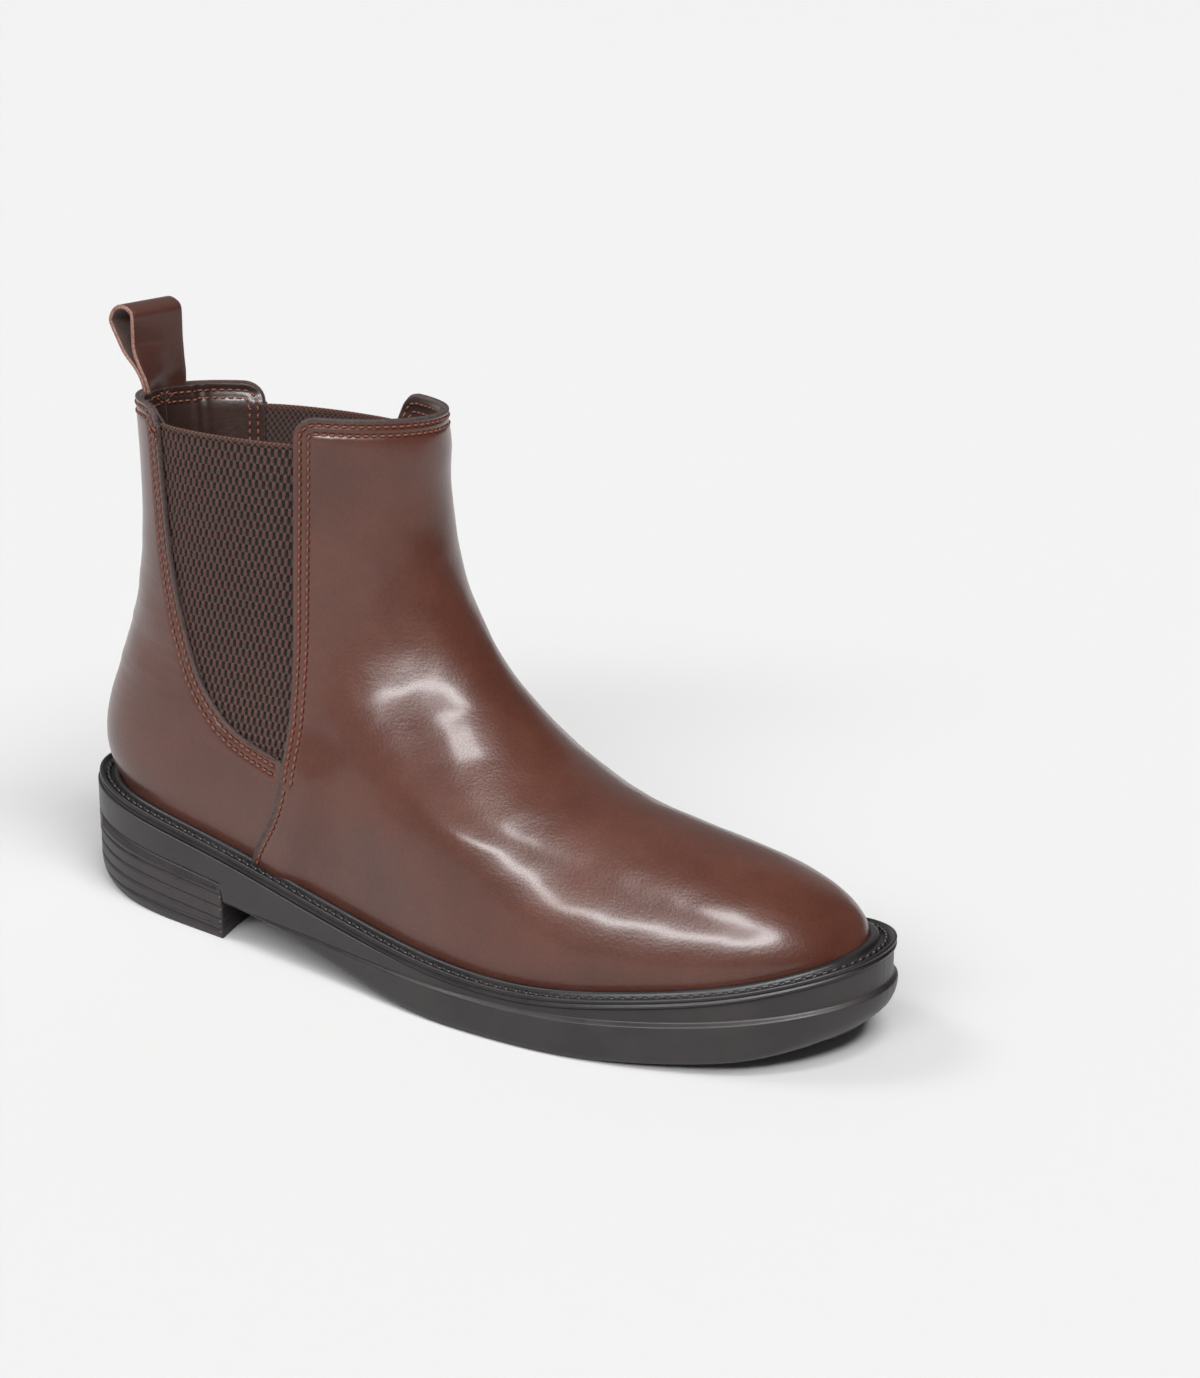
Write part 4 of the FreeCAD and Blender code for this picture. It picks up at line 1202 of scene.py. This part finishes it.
# fine upright ribs between the heel's two topmost grooves
RIB_SECTION = ((-0.28, -0.5), (-0.16, 0.22), (0.16, 0.22), (0.28, -0.5))
verts = []
faces = []
for here, out, stand in stations(MARGIN - 0.1, END_MARGIN - 0.1, 2400):
    rim = here + out * stand[:, None]
    chosen = np.flatnonzero((rim[:, 0] > 11) & (rim[:, 0] < 71))[::3]
    for k in chosen:
        share = np.clip(rim[k, 0] / HEEL_LENGTH, 0, 1)
        top, foot = (behind + (ahead - behind) * share for behind, ahead in HEEL_LINES[4:2:-1])
        forward = np.cross(out[k], [0, 0, 1])
        base = len(verts)
        for z in np.linspace(top - 0.8, foot + 1.6, 4):
            for along_by, stand_by in RIB_SECTION:
                p = rim[k] + forward * along_by + out[k] * stand_by
                verts.append([p[0], p[1], ground(p[0], z)])
        rib = base + np.arange(16).reshape(4, 4)
        faces += tube_quads(rib).tolist() + [rib[0].tolist(), rib[3, ::-1].tolist()]
ribs = mesh_object("heel_ribs", verts, faces, smooth=False)
ribs.data.materials.append(HEEL_RUBBER)
bends(ribs, "foot")


# ---------------------------------------------------------------- welt
def welt_ring(here, out, stand):
    """Closed section of the welt at every station: foot, bead, channel for the stitching, outer edge.

    d is the distance out from the feather edge, h the height from it."""
    m = stand[:, None]
    k = m / MARGIN
    foot = np.array([-7, -7, -1.2, -0.6])
    bead = np.array([0.1, 0.8, 1.5, 1.95, 2.15, 2.35])
    rim = np.array([2.3, 2.05, 1.7, 1.2, 0.75, 0.6, 0.65, 1.25, 1.25, 0.7, 0.6, 0.8])
    d = np.concatenate([0 * m + foot, bead * k, m - rim], axis=1)
    h = [-3.35, -0.1, -0.1, 0.5]
    h += [1.05, 1.3, 1.1, 0.55, -0.05, -0.55]
    h += [-0.75, -0.2, 0.05, 0.05, -0.25, -0.7, -1.15, -1.5, -1.9, -2.25, -2.7, -3.35]
    points = here[:, None] + out[:, None] * d[..., None]
    points[..., 2] = feather(points[..., 0]) + np.array(h)
    return points


left, right = stations()
ring = np.concatenate([welt_ring(*left), welt_ring(*right)[::-1]])
count, size = ring.shape[:2]
index = np.arange(count * size).reshape(count, size)
nxt = np.roll(index, -1, 0)
over = np.roll(index, -1, 1)
quads = np.stack([index, over, np.roll(nxt, -1, 1), nxt], -1).reshape(-1, 4)
welt = mesh_object("welt", ring.reshape(-1, 3), quads)
welt.data.materials.append(WELT_RUBBER)
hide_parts("welt_heel", "welt_forepart")
bends(welt, "toe")

here, out, stand = (np.concatenate([a, b[::-1], a[:1]]) for a, b in zip(left, right))
channel = here + out * ((2.35 * stand / MARGIN + stand - 2.3) / 2)[:, None]
channel[:, 2] = feather(channel[:, 0]) - 0.62
line = resample(channel, PATH_STEP)
ways = np.tile([0.0, 0.0, 1.0], (len(line), 1))
stitches("welt_stitching", [(line, ways)], "toe", 3.6, 2.9, 0.8, WELT_RUBBER, 0.25)

# ---------------------------------------------------------------- sock liner
SOCK_EDGE = -INSIDE - 0.6
SOCK_TOP = 4.1
SOCK_FOOT = 2.2
SOCK_ROUND = 0.35


def sock_section(here, out, stand):
    """Rounded edge of the sock liner, inside the lining; the welt's stand-out plays no part."""
    rim = here + out * (SOCK_EDGE - 2.0 * (out[:, :1] ** 2))
    round_off = SOCK_ROUND * np.array([1, 0.3, 0, 0, 0.3, 1])
    levels = np.linspace(SOCK_TOP, SOCK_FOOT, len(round_off))
    points = rim[:, None] - out[:, None] * round_off[None, :, None]
    points[..., 2] = feather(rim[:, 0])[:, None] + levels[None, :]
    return points


def sock_across(top, x, y):
    return feather(x) + (SOCK_TOP if top else SOCK_FOOT)


sock = slab("sock_liner", stations(count=360), sock_section, sock_across, SOCK_MAT)
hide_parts("sock_liner_heel", "sock_liner_forepart")
bends(sock, "toe")

# ---------------------------------------------------------------- pull loop
STRAP = 1.5
STRAP_WIDTH = 21.0
LOOP_OUTSIDE = 8.0
LOOP_HEIGHT = 26.0
LOOP_RADIUS = LOOP_OUTSIDE - STRAP / 2
LOOP_CENTRE = LOOP_HEIGHT - LOOP_OUTSIDE
LOOP_FOOT = -15.0
LOOP_PARTS = 4.5
HALF_GAP = STRAP / 2 + 0.05
LOOP_LEAN = math.radians(18)
TWIST = math.radians(16)
PIVOT_X = float(back(QUARTER_TOP)) + SECOND + ELASTIC / 2
PIVOT_Z = QUARTER_TOP - (COLLAR_WIDTH - LOOP_WIDTH) / 2 * COLLAR_TILT + 1.8 + SEAM_GAP


def loop_path():
    """Middle line of the strap in its own plane: up one side, over the top and down the other."""
    low = np.array([[-HALF_GAP, z] for z in np.linspace(LOOP_FOOT, LOOP_PARTS, 24)])
    lean = math.asin((LOOP_RADIUS - HALF_GAP) / (LOOP_CENTRE - LOOP_PARTS))
    angles = np.linspace(math.pi - lean, lean, 70)
    arc = np.stack([np.cos(angles), np.sin(angles)], -1) * LOOP_RADIUS + [0, LOOP_CENTRE]
    rise = low[-1:] + (arc[:1] - low[-1:]) * np.linspace(0, 1, 26)[1:-1, None]
    left_side = np.concatenate([low, rise])
    right_side = left_side[::-1] * np.array([-1, 1])
    line = np.concatenate([left_side, arc, right_side])
    for _ in range(10):
        line[1:-1] = (line[:-2] + 2 * line[1:-1] + line[2:]) / 4
    return line


line = loop_path()
tangent = unit(np.gradient(line, axis=0))
outward = np.stack([-tangent[:, 1], tangent[:, 0]], -1)
half_w = STRAP_WIDTH / 2
h = STRAP / 2
outer_y = np.linspace(-half_w + 0.5, half_w - 0.5, 13)
cut = [(half_w - 0.12, h * 0.75), (half_w, 0.0), (half_w - 0.12, -h * 0.75)]
section = [(y, h) for y in outer_y] + cut
section = np.array(section + [(-y, -z) for y, z in section])
local = np.zeros((len(line), len(section), 3))
local[..., 0] = line[:, None, 0] + outward[:, None, 0] * section[None, :, 1]
local[..., 2] = line[:, None, 1] + outward[:, None, 1] * section[None, :, 1]
local[..., 1] = section[None, :, 0]
# the strap lies round the heel where it is sewn in, and leans and twists as it rises
up_share = ease(-4, 12, local[..., 2])
local[..., 0] += local[..., 1] ** 2 / 56 * (1 - up_share)
lean = LOOP_LEAN * up_share
twist = TWIST * up_share
x = local[..., 0] * np.cos(lean) - local[..., 2] * np.sin(lean) * (local[..., 2] > 0)
z = np.where(local[..., 2] > 0, local[..., 0] * np.sin(lean) + local[..., 2] * np.cos(lean), local[..., 2])
y = local[..., 1]
turned_x = x * np.cos(twist) + y * np.sin(twist)
turned_y = -x * np.sin(twist) + y * np.cos(twist)
strap = np.stack([PIVOT_X + turned_x, turned_y, PIVOT_Z + z], -1)
count, size = strap.shape[:2]
index = np.arange(count * size).reshape(count, size)
faces = tube_quads(index).tolist() + [index[0].tolist(), index[-1, ::-1].tolist()]
loop_ob = mesh_object("pull_loop_strap", strap.reshape(-1, 3), faces)
for mat in (LOOP_FACE, PALE_EDGE, FLESH):
    loop_ob.data.materials.append(mat)
face_n = len(outer_y) - 1
kinds = np.array([0] * face_n + [1] * 4 + [2] * face_n + [1] * 4)
kinds = np.concatenate([np.tile(kinds, count - 1), [1, 1]])
loop_ob.data.polygons.foreach_set("material_index", kinds)
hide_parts("pull_loop", "pull_loop_tails")
bends(loop_ob, "loop")

# ---------------------------------------------------------------- floor, light, camera
FLOOR_TONE = 0.58
bpy.ops.mesh.primitive_plane_add(size=40, location=(0, 0, 0))
floor = bpy.context.object
floor.name = "floor"
n = Nodes("floor")
n.set(Base_Color=(FLOOR_TONE, FLOOR_TONE, FLOOR_TONE, 1), Roughness=0.9, Specular_IOR_Level=0.1)
floor.data.materials.append(n.mat)

# The soft lights: azimuths (from the boot's square-on side view towards its toe), elevations at azimuth 0,
# rise of elevation with azimuth, and strength.  The other light dims over the azimuths of DARK_SIDE.
AMBIENT = 0.28
DARK_SIDE = (50, 95)
DARK_LEVEL = 0.04
SOFTBOXES = [((-10, 88), (28, 36), 0.348, 24.0),
             ((28, 82), (65, 74), 0.0, 20.0),
             ((-84, -56), (42, 60), 0.0, 8.0)]

studio = bpy.data.worlds.new("studio")
bpy.context.scene.world = studio
n = Nodes("studio", studio)
split = n.node("SeparateXYZ", {"Vector": n.node("TexCoord").outputs["Generated"]})
azimuth = n.math("ARCTAN2", split.outputs[0], n.math("MULTIPLY", split.outputs[1], -1.0))
elevation = n.math("ARCSINE", split.outputs[2])
glow = n.ramp(azimuth, *(math.radians(a) for a in DARK_SIDE), AMBIENT, DARK_LEVEL)
for (az_low, az_high), (el_low, el_high), slope, power in SOFTBOXES:
    inside = power
    level = n.math("SUBTRACT", elevation, n.math("MULTIPLY", azimuth, slope))
    for value, low, high in ((azimuth, az_low, az_high), (level, el_low, el_high)):
        low = math.radians(low)
        high = math.radians(high)
        soft = 0.12 * (high - low)
        rise = n.ramp(value, low - soft, low + soft)
        fall = n.ramp(value, high - soft, high + soft, 1.0, 0.0)
        inside = n.math("MULTIPLY", inside, n.math("MULTIPLY", rise, fall))
    glow = n.math("ADD", glow, inside)
n.set(Strength=glow, Color=(1.0, 1.0, 1.0, 1.0))

TARGET = (130.0, 118.9, 54.2)
CAMERA_AZIMUTH = math.radians(29.4)
CAMERA_ELEVATION = math.radians(18.25)
CAMERA_DISTANCE = 1.265


def towards(azimuth, elevation):
    """Unit vector from the boot at an azimuth and an elevation."""
    level = math.cos(elevation)
    return Vector((math.sin(azimuth) * level, -math.cos(azimuth) * level, math.sin(elevation)))


camera = bpy.data.cameras.new("camera")
camera.lens = 105.0
camera.sensor_width = 36.0
camera.sensor_fit = "HORIZONTAL"
camera_ob = bpy.data.objects.new("camera", camera)
bpy.context.scene.collection.objects.link(camera_ob)
back_way = towards(CAMERA_AZIMUTH, CAMERA_ELEVATION)
lean = Quaternion((0.0, 1.0, 0.0), -PITCH)
camera_ob.location = Vector(place(TARGET)) + lean @ back_way * CAMERA_DISTANCE
camera_ob.rotation_euler = (lean @ back_way.to_track_quat("Z", "Y")).to_euler()
bpy.context.scene.camera = camera_ob
bpy.context.scene.view_settings.view_transform = "Standard"
